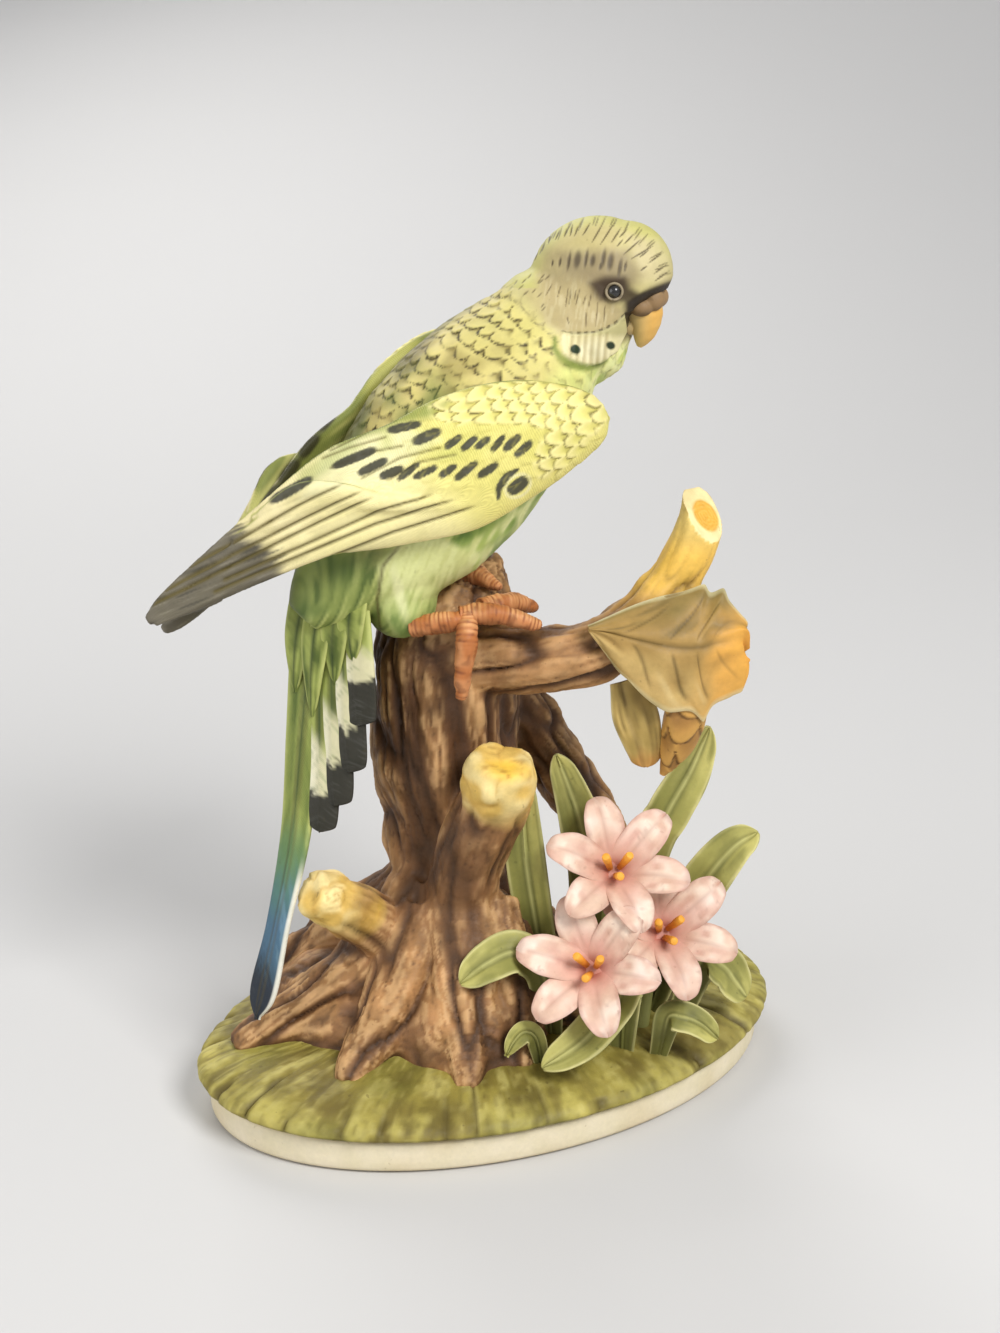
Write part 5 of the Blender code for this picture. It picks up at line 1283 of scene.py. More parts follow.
def bird_wing(side):
    """One folded wing; side is 1 for the right wing and -1 for the left."""

    def at(along, aside, above):
        back = WING[0][0][0] * MM - along
        drop = LEFT_WING_DROP * min(1.0, back / 0.030) if side < 0 else 0.0
        return on_body(along, aside * side, above - drop)

    bm = bmesh.new()
    uppers = smooth_path([Vector(entry[0]) * MM for entry in WING], 6)
    lowers = smooth_path([Vector(entry[1]) * MM for entry in WING], 6)
    shares = smooth_path([(entry[2], 0, 0) for entry in WING], 6)
    rings = []
    for upper, lower, share in zip(uppers, lowers, shares):
        top = at(*upper)
        low = at(*lower)
        chord = (top - low) / 2
        outward = (RIGHT * side - chord * (RIGHT * side).dot(chord) / chord.length_squared).normalized()
        rings.append(oval((top + low) / 2, chord, outward * share.x * WING_THICKNESS / 2, 40,
                          lift=share.x * 0.0012, facing=outward))
    loft(bm, rings)
    for k in range(6):
        share = k / 5
        start = at(-0.004 - 0.010 * share, 0.0225 - 0.0035 * share, 0.004 + 0.010 * share)
        middle = at(-0.028 + 0.006 * share, 0.0125, 0.0158 + 0.0085 * share)
        tip = at(-0.0580 + 0.026 * share, 0.0030 + 0.0035 * share, 0.0252 + 0.0006 * share)
        blade(bm, [start, middle, tip], [0.003, 0.0046, 0.0016], 0.0022, RIGHT * side, count=16)
    item = new_object("bird_wing_right" if side > 0 else "bird_wing_left", bm)
    fuse(item, WING_VOXEL, rounds=4)
    skin = Skin(item)
    along, aside, above = body_places(skin.points)
    back = WING[0][0][0] * MM - along
    drop = LEFT_WING_DROP * np.clip(back / 0.030, 0, 1) if side < 0 else 0.0
    twin = (np.array(BODY_CENTRE) + along[:, None] * np.array(AHEAD)
            + (aside * side)[:, None] * np.array(RIGHT)
            + (above + drop)[:, None] * np.array(BACK))
    uv = picture(twin)
    outer = step(-0.15, 0.25, skin.normals @ np.array(RIGHT) * side)
    points = skin.points.copy()
    far = uv @ COMB
    skin.tint("e2d77e")
    skin.tint("d3cb6c", 0.7 * step(-0.2, 0.6, grain(points, 0.006, 31)))
    lower_part = fall(380, 470, uv[:, 0] + (uv[:, 1] - 480) * -0.9)
    skin.tint("ece0a4", 0.85 * lower_part)
    skin.tint("e6d8a6", 0.8 * fall(250, 360, uv[:, 0]))
    skin.tint("c2b684", 0.5 * fall(300, 420, uv[:, 0]) * step(0.0, 0.6, brushed(uv, COMB, 30, 3.0, 38)))
    cream = inside(uv, [(330, 440), (400, 425), (440, 440), (380, 480), (300, 500)], 14)
    skin.tint("e8e2b0", 0.7 * cream)
    skin.tint("aab257", 0.45 * inside(uv, [(380, 428), (470, 430), (500, 455), (430, 462), (380, 452)], 16)
              * step(-0.3, 0.5, grain(points, 0.004, 32)))
    # Painted shade in green along the wing's upper edge, where it meets the back
    skin.tint("75863a", 0.75 * inside(uv, [(330, 425), (400, 398), (450, 400), (440, 416), (400, 424),
                                           (340, 446)], 12))
    skin.tint("8f9d4b", 0.5 * inside(uv, [(300, 470), (345, 440), (365, 446), (330, 470), (290, 496)], 12))
    # Grooves between the long feathers
    comb = np.zeros(len(points))
    crown = np.full(len(points), 99.0)
    for line in PRIMARY_LINES:
        gap, share, _ = line_gap(uv, line)
        depth = np.exp(-(gap / (1.3 + 0.6 * share)) ** 2) * step(0.0, 0.08, share)
        comb = np.maximum(comb, depth)
        crown = np.minimum(crown, gap)
    for line in SHORT_LINES:
        gap, share, _ = line_gap(uv, line)
        comb = np.maximum(comb, 0.7 * bell(gap, 1.3))
    low = step(-4, 4, uv[:, 1] - (482 + (480 - uv[:, 0]) * 0.02)) * fall(470, 500, uv[:, 0])
    streak = brushed(uv, COMB, 26, 2.0, 34)
    tip = fall(236, 268, uv[:, 0] - 1.25 * (uv[:, 1] - 540) + 24 * streak)
    skin.tint("5f594c", 0.96 * tip)
    skin.tint("8a8371", 0.60 * tip * step(0.1, 0.6, streak))
    skin.tint("37332a", 0.65 * tip * step(0.1, 0.6, -streak))
    hem, hem_share, _ = line_gap(uv, [(491, 507), (418, 530), (335, 562), (230, 604), (150, 640)])
    skin.tint("5f594c", 0.8 * bell(hem, 5.5) * step(0.2, 0.6, hem_share) * step(-0.2, 0.4, streak + 0.3))
    skin.tint("665a2a", 0.90 * comb * outer)
    # Scallops on the shoulder
    shoulder = inside(uv, SHOULDER, 6) * outer
    f = -0.95 * (uv[:, 0] - 500) + 0.31 * (uv[:, 1] - 400)
    c = 0.31 * (uv[:, 0] - 500) + 0.95 * (uv[:, 1] - 400)
    tall, line, number = scales(f / 16.0 + 0.35 * grain(points, 0.005, 39), c / 13.0
                                + 0.4 * grain(points, 0.0045, 40), 9)
    # Painted light on each scale's raised rim and painted shade at its tucked base
    skin.tint("eee29a", 0.8 * shoulder * step(0.35, 0.9, tall))
    skin.tint("bdb25c", 0.65 * shoulder * fall(0.15, 0.6, tall))
    skin.tint("574a20", 0.9 * shoulder * np.clip(line * 1.15, 0, 1) * (0.35 + 0.65 * number))
    # The inner face of a wing, with dark bars between yellow edges
    inner = 1 - outer
    own_uv = picture(points)
    # Painted shade on the inner face, which turns towards the body: the olive tint and its darker green
    # stripes
    skin.tint("a3a152", 0.9 * inner * (1 - tip))
    quills = brushed(uv, COMB, 70, 7.0, 37)
    skin.tint("6d7636", 0.8 * inner * (1 - tip) * step(-0.3, 0.4, quills))
    skin.tint("c6c478", 0.6 * inner * (1 - tip) * step(0.1, 0.6, -quills))
    for x, y, long, short in FAR_BARS:
        bar = spot(own_uv, (x, y), long, short, (-0.62, 0.78), 0.3, 2.6)
        skin.tint("322f1a", 0.95 * bar * (side < 0))
    # Dark spots
    dots = strongest(spot(uv, (x, y), long, short * 0.80, (lean_x, lean_y), 0.10, 2.8)
                     for x, y, long, short, lean_x, lean_y in WING_SPOTS)
    dots = np.maximum(dots, stroke(uv, WING_COMMA, 7.5, 1.4, 0.55))
    dots *= outer
    skin.tint("3c3b2e", 0.97 * dots)
    skin.tint("57564a", 0.5 * dots * step(0.0, 0.6, grain(points, 0.0008, 36)))
    gapped = (spot(uv, (518, 486), 15.5, 11.5, (0.8, -0.6), 0.1)
              * (1 - spot(uv, (518, 486), 12.5, 8.8, (0.8, -0.6), 0.1)))
    skin.tint("e9e2b4", 0.6 * gapped * (1 - dots) * outer)
    coverts = (1 - shoulder) * outer * step(388, 420, uv[:, 0]) * fall(486, 494, uv[:, 1])
    plume_f = -0.90 * uv[:, 0] + 0.44 * uv[:, 1]
    plume_c = 0.60 * uv[:, 0] + 0.80 * uv[:, 1]
    plume, plume_line, _ = scales(plume_f / 24.0, plume_c / 15.0, 12)
    skin.tint("b6ad58", 0.30 * coverts * plume_line)
    bulge = np.clip(crown / 9.0, 0, 1) * low
    skin.lift(MM * outer * (-0.42 * comb + 0.18 * bulge + shoulder * 0.55 * (tall - 0.6) - 0.14 * dots
                            + 0.22 * coverts * (plume - 0.6)))
    skin.points += (0.0005 * fall(-0.0600, -0.0500, along))[:, None] * np.array(AHEAD)
    skin.vane = np.c_[far * 0.19, np.minimum(crown, 20) * 0.19, (1 - shoulder) * (1 - dots)]
    skin.groove(0.25 * comb * outer)
    place_piece(skin, FEATHER_PAINT, "bird")


# The tail's middle line in tail lengths, and its steps: share of the length at the tip, and places
# across, in feather widths, at the root and at the tip
TAIL_ROOT = on_body(-0.0285, 0.000, 0.0020)
TAIL_LINE = [(-0.027, 0.0, 0.0), (-0.064, -0.012, -0.24), (-0.090, -0.042, -0.51),
             (-0.134, -0.095, -0.735), (-0.178, -0.158, -0.925)]
TAIL_STEPS = [(0.53, 0.10, 0.72), (0.47, 0.35, 1.08), (0.40, 0.60, 1.42), (0.31, 0.80, 1.60)]
FEATHER_SHARES = (0.0, 0.4, 0.75, 0.93, 1.0)
TAIL_SIDE = Vector((0.88, -0.47, 0)).normalized()
TAIL_REAR_SIDE = Vector((0.42, 0.91, 0)).normalized()
TAIL_FACE = Vector((-0.47, -0.88, 0)).normalized()
# The coverts over the tail's root: place across in feather widths, and share of the tail at the tip
COVERTS = [(-0.30, 0.27), (0.25, 0.31), (0.80, 0.24), (1.25, 0.19)]


def tail_point(share):
    """A point on the tail's middle line, share 0 at the rump and 1 at the tip."""
    path = smooth_path(TAIL_LINE, 8)
    place = share * (len(path) - 1)
    low = min(int(place), len(path) - 2)
    value = path[low].lerp(path[low + 1], place - low)
    return TAIL_ROOT + value * TAIL_LENGTH


def bird_tail():
    bm = bmesh.new()
    shares = [0.0, 0.15, 0.35, 0.55, 0.75, 0.92, 1.0]
    points = [tail_point(share) for share in shares]
    points[0] = points[0] + (points[0] - points[1]) * 0.05
    widths = [1.3, 1.35, 1.1, 0.85, 0.68, 0.78, 0.3]
    blade(bm, points, [width * TAIL_FEATHER_WIDTH for width in widths], 0.0021,
          TAIL_SIDE.cross(UP) * -1, steps=16, count=40, number=0)
    for half, outward in enumerate((TAIL_SIDE, TAIL_REAR_SIDE)):
        facing = outward.cross(UP)
        for order, (end, inner, outer) in enumerate(TAIL_STEPS):
            line = []
            for share in FEATHER_SHARES:
                shift = inner + (outer - inner) * share
                line.append(tail_point(share * end) + outward * shift * TAIL_FEATHER_WIDTH
                            + facing * 0.00015 * order)
            blade(bm, line, [share * TAIL_FEATHER_WIDTH for share in (0.8, 0.95, 1.0, 0.92, 0.70)], 0.0021,
                  facing, steps=20, count=36, number=1 + half * 4 + order)
    for order, (off, end) in enumerate(COVERTS):
        line = []
        for share, outward in ((0.0, 0.0012), (0.5, 0.0021), (1.0, 0.0006)):
            line.append(tail_point(0.03 + share * (end - 0.03)) + TAIL_FACE * outward
                        + TAIL_SIDE * off * (0.8 + 0.2 * share) * TAIL_FEATHER_WIDTH)
        blade(bm, line, [share * TAIL_FEATHER_WIDTH for share in (0.85, 0.75, 0.16)], 0.0016,
              TAIL_FACE, cup=0.15, steps=14, count=24, number=9 + order)
    item = new_object("bird_tail", bm)
    skin = Skin(item)
    along = skin.mark("along")
    across = skin.mark("across")
    number = skin.mark("number").round()
    middle = number == 0
    points = skin.points.copy()
    streak = grain(np.c_[along * 6, across * 3.5, number * 9.1], 1.0, 41)
    combed = grain(np.c_[along * 60 - np.abs(across) * 5, across * 1.2, number * 3.3], 1.0, 42)
    share = np.where(middle, np.interp(along, np.arange(7) / 6, shares),
                     np.interp(along, np.arange(5) / 4, FEATHER_SHARES))
    ends = np.array([entry[0] for entry in TAIL_STEPS])[((number - 1) % 4).astype(int)]
    left = (1 - share) * ends * TAIL_LENGTH * 1000 + 0.9 * combed + 0.6 * streak
    skin.tint("7f8a42")
    skin.tint("a9b25e", 0.8 * step(-0.1, 0.6, streak + 0.3 * combed))
    skin.tint("46591f", 0.8 * step(0.1, 0.6, -streak - 0.2 * combed))
    skin.tint("2f4a1b", 0.55 * fall(0.0, 0.16, share))
    edge = step(0.72, 0.95, np.abs(across))
    skin.tint("c4c878", 0.8 * edge * (along < 0.93))
    shaft = bell(across, 0.10)
    covert = number > 8
    short = (~middle & ~covert) * 1.0
    cream = short * fall(15.0, 19.0, left - 3.5 * across)
    skin.tint("d6cfa8", 0.92 * cream)
    skin.tint("efead2", 0.6 * cream * step(-0.1, 0.6, across))
    skin.tint("8f9a6a", 0.5 * cream * step(0.2, 0.6, -combed))
    skin.tint("1c1a15", 0.97 * short * fall(7.2, 8.4, left - 1.6 * np.abs(across)))
    skin.tint("4b4a44", 0.5 * short * fall(6.4, 7.6, left) * step(0.2, 0.6, combed))
    skin.tint("26391a", 0.75 * shaft * step(0.05, 0.2, along) * (1 - cream))
    skin.tint("5f7f52", 0.9 * middle * step(0.50, 0.60, share + 0.02 * combed))
    skin.tint("4f7670", 0.9 * middle * step(0.58, 0.68, share + 0.02 * combed))
    skin.tint("46647c", 0.9 * middle * step(0.66, 0.76, share + 0.02 * streak))
    skin.tint("6d8c9a", 0.5 * middle * step(0.62, 0.70, share) * step(0.1, 0.6, combed + streak))
    skin.tint("20242c", 0.95 * middle * step(0.79, 0.90, share + 0.03 * combed - 0.02 * across))
    skin.tint("e6e3d3", 0.9 * middle * step(0.70, 0.86, across) * step(0.58, 0.66, share))
    skin.lift(MM * (0.28 * shaft - 0.10 + 0.10 * streak))
    skin.vane = np.c_[along * 60, across * 3.6, np.ones(len(points))]
    skin.groove(0.4 * np.exp(-((np.abs(across) - 0.16) / 0.06) ** 2) * (1 - cream))
    place_piece(skin, FEATHER_PAINT, "bird")


# The toes of both feet, as points above the perch in millimetres, and the length of one ring of skin
TOES = [
    [(-15, -11, -2.2), (-9, -12.5, -0.8), (-3, -12.5, 0.5)],
    [(-6, -12, 0.5), (1, -11.5, 0.5), (8.5, -10.5, -1.8)],
    [(-4.5, -12, 0.8), (-4.5, -14.8, -4), (-5.5, -16, -13.5)],
    [(-2, -10, 1.2), (4, -6, 1), (8, -2, -1)],
    [(-12, 6, 1), (-4, 3, 4), (1, -1, 3)],
]
SCUTE = 0.00085


def bird_feet():
    bm = bmesh.new()

    def scutes(way):
        return 0.98 + 0.07 * abs(math.sin(way * math.pi / SCUTE + 0.7 * math.sin(way * 900)))

    for line in TOES:
        ends = (1.0, 1.08, 0.62)
        points = [(x * MM, y * MM, PERCH + z * MM, size * TOE_RADIUS) for (x, y, z), size in zip(line, ends)]
        x, y, z, radius = points[-1]
        last = Vector(points[-1][:3]) - Vector(points[-2][:3])
        beyond = Vector((x, y, z)) + last.normalized() * 0.0012
        points.append((*beyond, radius * 0.35))
        tube(bm, points, steps=26, count=24, swell=scutes, marks=True)
    skin = Skin(new_object("bird_feet", bm))
    way = skin.mark("along")
    points = skin.points.copy()
    ringed = np.abs(np.sin(way * math.pi / SCUTE + 0.7 * np.sin(way * 900) + 0.5 * grain(points, 0.0016, 50)))
    skin.tint("c08150")
    # Painted highlight on the upward-facing rings
    skin.tint("d69f68", 0.8 * step(0.5, 1.0, ringed) * step(-0.1, 0.8, skin.normals[:, 2]))
    skin.tint("a55f2c", 0.8 * step(-0.1, 0.6, grain(points, 0.0022, 51)))
    skin.tint("8d4f2a", 0.75 * fall(0.08, 0.42, ringed))
    # Painted shade on the downward-facing sides of the toes
    skin.tint("8d5a35", 0.6 * fall(-0.7, 0.1, skin.normals[:, 2]))
    skin.tint("6b3d1f", 0.55 * step(0.25, 0.7, grain(points, 0.0011, 54)))
    skin.lift(MM * (0.26 * grain(points, 0.0013, 52) + 0.10 * grain(points, 0.0035, 53) - 0.05))
    skin.groove(0.6 * fall(0.03, 0.25, ringed))
    place_piece(skin, porcelain("terracotta foot", "7b4526", mottle=0.14, specks=0.2), "bird")


# Along the hooked beak: place ahead, rise and radius, in beak lengths
HOOK = [(0.0, 0.04, 0.27), (0.09, -0.14, 0.32), (0.14, -0.34, 0.305), (0.14, -0.56, 0.235),
        (0.10, -0.75, 0.14), (0.06, -0.87, 0.045)]


def bird_beak():
    beak = BEAK_LENGTH
    root = on_head(0.50, 0, -0.16)
    bm = bmesh.new()
    tube(bm, [(*(root + HEAD_AHEAD * beak * ahead + UP * beak * rise), beak * wide)
              for ahead, rise, wide in HOOK], steps=10, count=40)
    ball(bm, on_head(0.36, 0, -0.60), (HEAD_AHEAD, HEAD_RIGHT, UP), (beak * 0.24, beak * 0.24, beak * 0.20))
    skin = Skin(new_object("bird_beak", bm))
    off = skin.points - np.array(root)
    front = off @ np.array(HEAD_AHEAD) / beak
    below = -off[:, 2] / beak
    skin.tint("d0b678")
    skin.tint("d9a650", 0.9 * step(0.05, 0.42, front + 0.1 * below))
    skin.tint("e6c483", 0.6 * step(0.3, 0.5, front) * step(0.3, 0.7, below))
    skin.tint("b39c70", 0.75 * fall(-0.15, 0.12, front))
    # Painted shade along the top of the beak, under the cere
    skin.tint("7d5f33", 0.6 * fall(-0.02, 0.10, below))
    skin.lift(MM * 0.03 * np.sin(below * 34 + front * 9))
    place_piece(skin, porcelain("beak bisque", "6b4a22", mottle=0.08, specks=0.1, relief=0.00006),
                "bird")
    bm = bmesh.new()
    axes = (HEAD_AHEAD, HEAD_RIGHT, UP)
    radius = HEAD_RADIUS
    for side in (-1, 1):
        ball(bm, on_head(0.77, side * 0.15, -0.20), axes, (radius * 0.19, radius * 0.18, radius * 0.18))
        ball(bm, on_head(0.62, side * 0.24, -0.30), axes, (radius * 0.19, radius * 0.19, radius * 0.15))
    ball(bm, on_head(0.66, 0, -0.24), axes, (radius * 0.18, radius * 0.26, radius * 0.18))
    item = new_object("bird_cere", bm)
    fuse(item, CERE_VOXEL, rounds=4)
    skin = Skin(item)
    high = (skin.points[:, 2] - HEAD_CENTRE.z) / radius
    skin.tint("8b6f4c")
    # Painted light on the top of the cere and painted shade on its underside
    skin.tint("a98a60", 0.8 * step(-0.13, -0.04, high))
    skin.tint("5d4832", 0.8 * fall(-0.44, -0.28, high))
    for side in (-1, 1):
        gap = np.linalg.norm(skin.points - np.array(on_head(0.84, side * 0.23, -0.17)), axis=1)
        hole = bell(gap, 0.0006)
        skin.tint("2f2015", 0.9 * hole)
        skin.lift(-MM * 0.5 * hole)
    place_piece(skin, porcelain("cere bisque", "3a2716", mottle=0.12, specks=0.2, relief=0.00008),
                "bird")


# The near eye's centre, in head radii ahead, right and up
EYE_CENTRE = (0.345, 0.868, 0.005)


def bird_eyes():
    """Each eye: a pale ring and a glossy black pupil."""
    rims = bmesh.new()
    pupils = bmesh.new()
    for side in (-1, 1):
        centre = on_head(EYE_CENTRE[0], EYE_CENTRE[1] * side, EYE_CENTRE[2])
        out = (HEAD_AHEAD * EYE_CENTRE[0] * 0.75 + HEAD_RIGHT * side * 0.95 + UP * 0.12).normalized()
        wide = out.cross(UP).normalized()
        tall = wide.cross(out)
        rings = []
        for lift, reach in ((-0.0012, 0.00172), (-0.0002, 0.00170), (0.00010, 0.00160), (0.00015, 0.00148),
                            (0.00008, 0.00134), (-0.00010, 0.00120), (-0.0009, 0.00110)):
            rings.append(oval(centre + out * lift, wide * reach, tall * reach, 36))
        loft(rims, rings)
        ball(pupils, centre - out * 0.00048, (out, wide, tall), (0.00112, 0.00124, 0.00124), detail=4)
    skin = Skin(new_object("bird_eye_rims", rims))
    skin.tint("94866d")
    skin.tint("5f5240", 0.7 * step(0.0, 0.6, grain(skin.points, 0.0006, 61)))
    place_piece(skin, porcelain("eye ring bisque", "4a3a29", mottle=0.1, specks=0.1), "bird")
    skin = Skin(new_object("bird_pupils", pupils))
    skin.tint("0d0a08")
    glossy = porcelain("glazed pupil", "0a0706", mottle=0.1, specks=0.0, relief=0.00001)
    shader = glossy.node_tree.nodes["Principled BSDF"]
    shader.inputs["Coat Weight"].default_value = 1.0
    shader.inputs["Coat Roughness"].default_value = 0.06
    place_piece(skin, glossy, "bird")


# Across the autumn leaf at its veins and teeth, in millimetres: upper edge, midrib and lower edge
AUTUMN_LEAF = [
    ((18, -12.5, -1.3), (17.9, -13.5, -1.7), (18.1, -14, -2.2)),
    ((21.4, -11.5, 0), (21.8, -14.5, -2), (20.5, -14.2, -6)),
    ((28, -9.5, 2.3), (25.9, -15.5, -2.8), (23.3, -14.5, -9.8)),
    ((33.1, -8.5, 3.7), (30.7, -16, -3.8), (26.3, -15, -12.5)),
    ((37.4, -8.2, 4.8), (33.7, -16, -4.4), (30.3, -15, -16.1)),
    ((40.2, -8, 5.6), (37, -15.8, -4.7), (33.4, -15, -17.9)),
    ((41.4, -8.6, 4), (38.5, -15.6, -4.6), (37.5, -15, -17.7)),
    ((43.8, -8.8, 5), (39.9, -15.4, -4.6), (40.2, -14.5, -20.1)),
    ((45, -9.8, 2.8), (41.9, -15, -4), (42.1, -14.2, -16.8)),
    ((46.9, -10.5, 0.4), (44.5, -14, -3.9), (45.5, -13.5, -15.2)),
    ((48.8, -11.2, -1.9), (47.8, -12.5, -4.1), (48.3, -13, -14)),
    ((48.7, -11.4, -5), (48.7, -11.8, -7), (48.7, -12.2, -10)),
]


def autumn_leaf():
    bm = bmesh.new()
    edges = [smooth_path([Vector(entry[part]) * MM for entry in AUTUMN_LEAF], 12) for part in range(3)]
    rings = []
    along = []
    across = []
    half = 0.0009
    for row, (upper, rib, lower) in enumerate(zip(*edges)):
        line = smooth_path([upper, rib, lower], 20)
        face = Vector((0, -half, half * 0.3))
        origin = Vector((0, 0, PERCH))
        places = [i / 20 - 1 for i in range(len(line))]
        front = []
        rear = []
        for point, place in zip(line, places):
            taper = math.sqrt(max(1 - abs(place) ** 6, 0.05))
            front.append(origin + point + face * taper)
            rear.append(origin + point - face * taper)
        rings.append(front + rear[::-1])
        along.append([row / (len(edges[0]) - 1)] * (2 * len(line)))
        across.append(places + places[::-1])
    loft(bm, rings, {"along": along, "across": across})
    skin = Skin(new_object("autumn_leaf", bm))
    along = skin.mark("along")
    across = skin.mark("across")
    points = skin.points.copy()
    rib = bell(across, 0.045)
    veins = np.zeros(len(points))
    for start, depth in ((0.14, 0.8), (0.32, 1.0), (0.50, 0.8), (0.68, 0.45)):
        bend = along - start - 0.20 * np.abs(across) ** 1.2 - 0.04 * (across > 0)
        reach = (step(0.08, 0.22, np.abs(across))
                 * fall(0.50 + 0.2 * depth, 0.62 + 0.3 * depth, np.abs(across)))
        veins = np.maximum(veins, depth * bell(bend, 0.009) * reach)
    ripple = grain(np.c_[along * 9, across * 5, along * 0], 1.0, 71)
    folds = grain(np.c_[along * 14 - 5 * np.abs(across), across * 2.0, along * 0], 1.0, 73)
    rib *= fall(0.62, 0.85, along)
    skin.tint("a18147")
    # Painted light over the upper half and on raised folds, and painted shade over the lower half and in the
    # folds' hollows
    skin.tint("c8a969", 0.85 * step(0.1, 0.8, across + 0.3 * ripple))
    skin.tint("77693a", 0.80 * step(0.15, 0.9, -across - 0.1 + 0.3 * ripple))
    skin.tint("dac48c", 0.7 * step(0.2, 0.8, folds) * step(-0.2, 0.4, across))
    skin.tint("856c3a", 0.65 * step(0.2, 0.8, -folds))
    skin.tint("d39a43", 0.85 * step(0.52, 0.90, along + 0.10 * ripple + 0.10 * across))
    skin.tint("dba13f", 0.7 * step(0.76, 0.97, along + 0.05 * ripple))
    skin.tint("b9742c", 0.45 * step(0.86, 1.0, along + 0.06 * folds))
    skin.tint("d8cfa2", 0.6 * step(0.90, 0.99, np.abs(across)))
    skin.tint("5f4f27", 0.45 * veins + 0.40 * rib)
    # The end of the leaf drawn in between its lobes
    lobes = 0.5 + 0.5 * np.sin(across * 6.5 + 0.9 + 0.8 * ripple)
    skin.points -= np.outer(MM * 1.5 * step(0.84, 1.0, along) * lobes, (0.894, -0.448, 0))
    # More painted shade in the folds' hollows over the lower half
    skin.tint("6c5c33", 0.45 * (across < -0.05) * step(0.1, 0.7, -folds))
    skin.lift(MM * (-0.24 * veins - 0.32 * rib + 0.30 * ripple + 0.22 * folds - 0.22))
    skin.groove(0.40 * veins + 0.40 * rib)
    place_piece(skin, porcelain("autumn leaf bisque", "4d3a17", mottle=0.16, relief=0.00015), "autumn_leaf")


def hanging_leaf():
    bm = bmesh.new()
    line = [(0.0255, -0.0090, -0.0135), (0.0275, -0.0105, -0.0200), (0.0292, -0.0102, -0.0260),
            (0.0300, -0.0095, -0.0310)]
    points = [Vector((x, y, PERCH + z)) for x, y, z in line]
    blade(bm, points, [0.0060, 0.0092, 0.0076, 0.0052], LEAF_THICKNESS, Vector((0, -1, 0)), steps=22,
          count=40)
    skin = Skin(new_object("hanging_leaf", bm))
    along = skin.mark("along")
    across = skin.mark("across")
    streak = grain(np.c_[along * 4, across * 5, along * 0], 1.0, 72)
    fold = np.exp(-((across - 0.25) / 0.10) ** 2)
    fine = grain(np.c_[along * 3, across * 14, along * 0], 1.0, 74)
    skin.tint("a08748")
    skin.tint("c2a664", 0.8 * step(0.0, 0.7, streak + 0.5 * fine))
    skin.tint("7a6231", 0.65 * step(0.0, 0.7, -streak - across * 0.4))
    skin.tint("5f4b24", 0.5 * step(0.3, 0.8, -fine))
    skin.tint("cfc08a", 0.6 * step(0.85, 0.98, np.abs(across)))
    skin.tint("b9752f", 0.5 * step(0.7, 1.0, along + 0.2 * streak))
    skin.lift(MM * (0.18 * streak - 0.25 * fold - 0.1))
    skin.groove(0.6 * fold + 0.3 * step(0.3, 0.8, -streak))
    place_piece(skin, porcelain("hanging leaf bisque", "4d3a17", mottle=0.16, relief=0.00015), "hanging_leaf")


def bud():
    bm = bmesh.new()
    line = [(0.0385, -0.0108, -0.0140, 0.80), (0.0372, -0.0106, -0.0195, 1.0),
            (0.0360, -0.0104, -0.0250, 0.85), (0.0343, -0.0102, -0.0295, 0.50),
            (0.0331, -0.0100, -0.0325, 0.15)]
    tube(bm, [(x, y, PERCH + z, share * BUD_RADIUS) for x, y, z, share in line], steps=22, count=56,
         marks=True)
    skin = Skin(new_object("bud", bm))
    way = skin.mark("along")
    off = skin.points - np.array([0.0353, -0.0104, 0.0])
    angle = np.arctan2(off[:, 1], off[:, 0])
    tall, line, number = scales(way / 0.0052 + 0.25 * np.sin(angle + 1), angle / math.tau * 4, 2)
    skin.tint("a1753a")
    # Painted light on each scale's raised tip and painted shade at its tucked base, of a strength that varies
    # from scale to scale
    skin.tint("c99a4e", 0.7 * step(0.4, 0.9, tall))
    skin.tint("7c5829", 0.6 * number * fall(0.3, 0.7, tall))
    skin.lift(MM * (0.55 * (tall - 0.75)))
    skin.groove(0.8 * line)
    place_piece(skin, porcelain("bud bisque", "4a3011", mottle=0.16, relief=0.00015), "bud")


